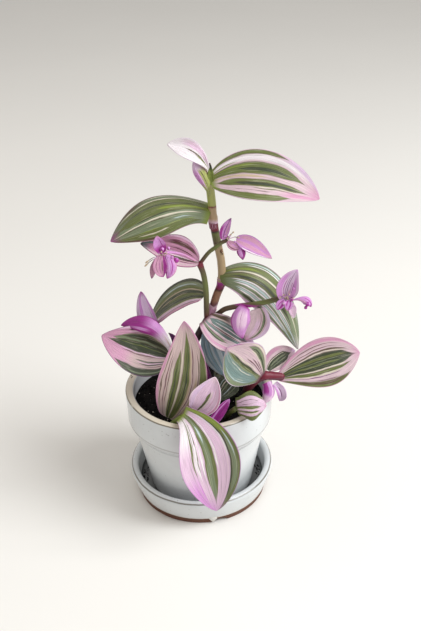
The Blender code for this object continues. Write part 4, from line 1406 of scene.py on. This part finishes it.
class PLANT_OT_stems(bpy.types.Operator):
    """Model the stems and the sheaths round their joints"""
    bl_idname = "plant.stems"
    bl_label = "Stems"

    def execute(self, context):
        for stem in STEMS:
            make_stem(stem)
        for sheath in SHEATHS:
            make_sheath(*sheath)
        look = colours()
        cork = grainy_material("bud_scar", 0.6, 800.0, 3.0, 0.5, look.brown, (0.4, 0.6, look.cane))
        scar = scattered("bud_scar", *BUD_SCAR, 2, subdivisions=3, rough=0.08)
        finish_piece(scar, [], "stem", cork)
        return {"FINISHED"}


class PLANT_OT_leaves(bpy.types.Operator):
    """Model the leaves, each with its own bands"""
    bl_idname = "plant.leaves"
    bl_label = "Leaves"

    def execute(self, context):
        size = sizes()
        underside = underside_material()
        for leaf in LEAVES:
            make_leaf(leaf, underside, size.leaf_thickness, size.ridge_height / MM,
                      size.columns, size.rows)
        return {"FINISHED"}


class PLANT_OT_flowers(bpy.types.Operator):
    """Model the petals, bracts and flower middles"""
    bl_idname = "plant.flowers"
    bl_label = "Flowers"

    def execute(self, context):
        look = colours()
        for petal in PETALS:
            make_leaf(petal, None, sizes().petal_thickness, PETAL_RIDGE, PETAL_COLUMNS, PETAL_ROWS)
        center = grainy_material("flower_center", 0.55, 900.0, 3.0, 0.5, look.cream,
                                 (0.4, 0.5, look.beige), (0.56, 0.62, look.magenta))
        stamen = stamen_material()
        for name, place, radius, stamens in FLOWER_CENTERS:
            make_flower_center(name, place, radius, stamens, center, stamen)
        knob = grainy_material("flower_knob", 0.4, 500.0, 2.0, 0.4, look.magenta,
                               (0.35, 0.55, look.lilac), (0.58, 0.68, look.blush))
        for name, places, radii in KNOBS:
            buds = scattered(name, places, radii, 9, flatness=0.95, subdivisions=3, rough=0.06)
            finish_piece(buds, [], "petal", knob)
        return {"FINISHED"}


class PLANT_OT_stage(bpy.types.Operator):
    """Add the floor, the lights and the camera"""
    bl_idname = "plant.stage"
    bl_label = "Stage"

    def execute(self, context):
        stage = context.scene.plant_stage
        context.scene.view_settings.view_transform = "Standard"
        make_floor(stage)
        make_lights(stage)
        make_camera(stage)
        return {"FINISHED"}


OPERATORS = (PLANT_OT_pot, PLANT_OT_saucer, PLANT_OT_soil, PLANT_OT_stems, PLANT_OT_leaves,
             PLANT_OT_flowers, PLANT_OT_stage)
GROUPS = {"plant_colours": PlantColours, "pot_colours": PotColours, "plant_sizes": PlantSizes,
          "plant_stage": StageSettings}


class PLANT_PT_panel(bpy.types.Panel):
    """Lists the pieces and their settings"""
    bl_idname = "PLANT_PT_panel"
    bl_label = "Potted tradescantia"
    bl_space_type = "VIEW_3D"
    bl_region_type = "UI"
    bl_category = "Plant"

    def draw(self, context):
        for operator in OPERATORS:
            self.layout.operator(operator.bl_idname)
        for name, group in GROUPS.items():
            box = self.layout.box()
            for key in group.__annotations__:
                box.prop(getattr(context.scene, name), key)


def register():
    for group in GROUPS.values():
        bpy.utils.register_class(group)
    for operator in (*OPERATORS, PLANT_PT_panel):
        bpy.utils.register_class(operator)
    for name, group in GROUPS.items():
        setattr(bpy.types.Scene, name, PointerProperty(type=group))


def unregister():
    for name in GROUPS:
        delattr(bpy.types.Scene, name)
    for operator in (PLANT_PT_panel, *reversed(OPERATORS)):
        bpy.utils.unregister_class(operator)
    for group in reversed(GROUPS.values()):
        bpy.utils.unregister_class(group)


def main():
    register()
    bpy.ops.plant.stage()
    bpy.ops.plant.pot()
    bpy.ops.plant.saucer()
    bpy.ops.plant.soil()
    bpy.ops.plant.stems()
    bpy.ops.plant.leaves()
    bpy.ops.plant.flowers()


if __name__ == "__main__":
    main()
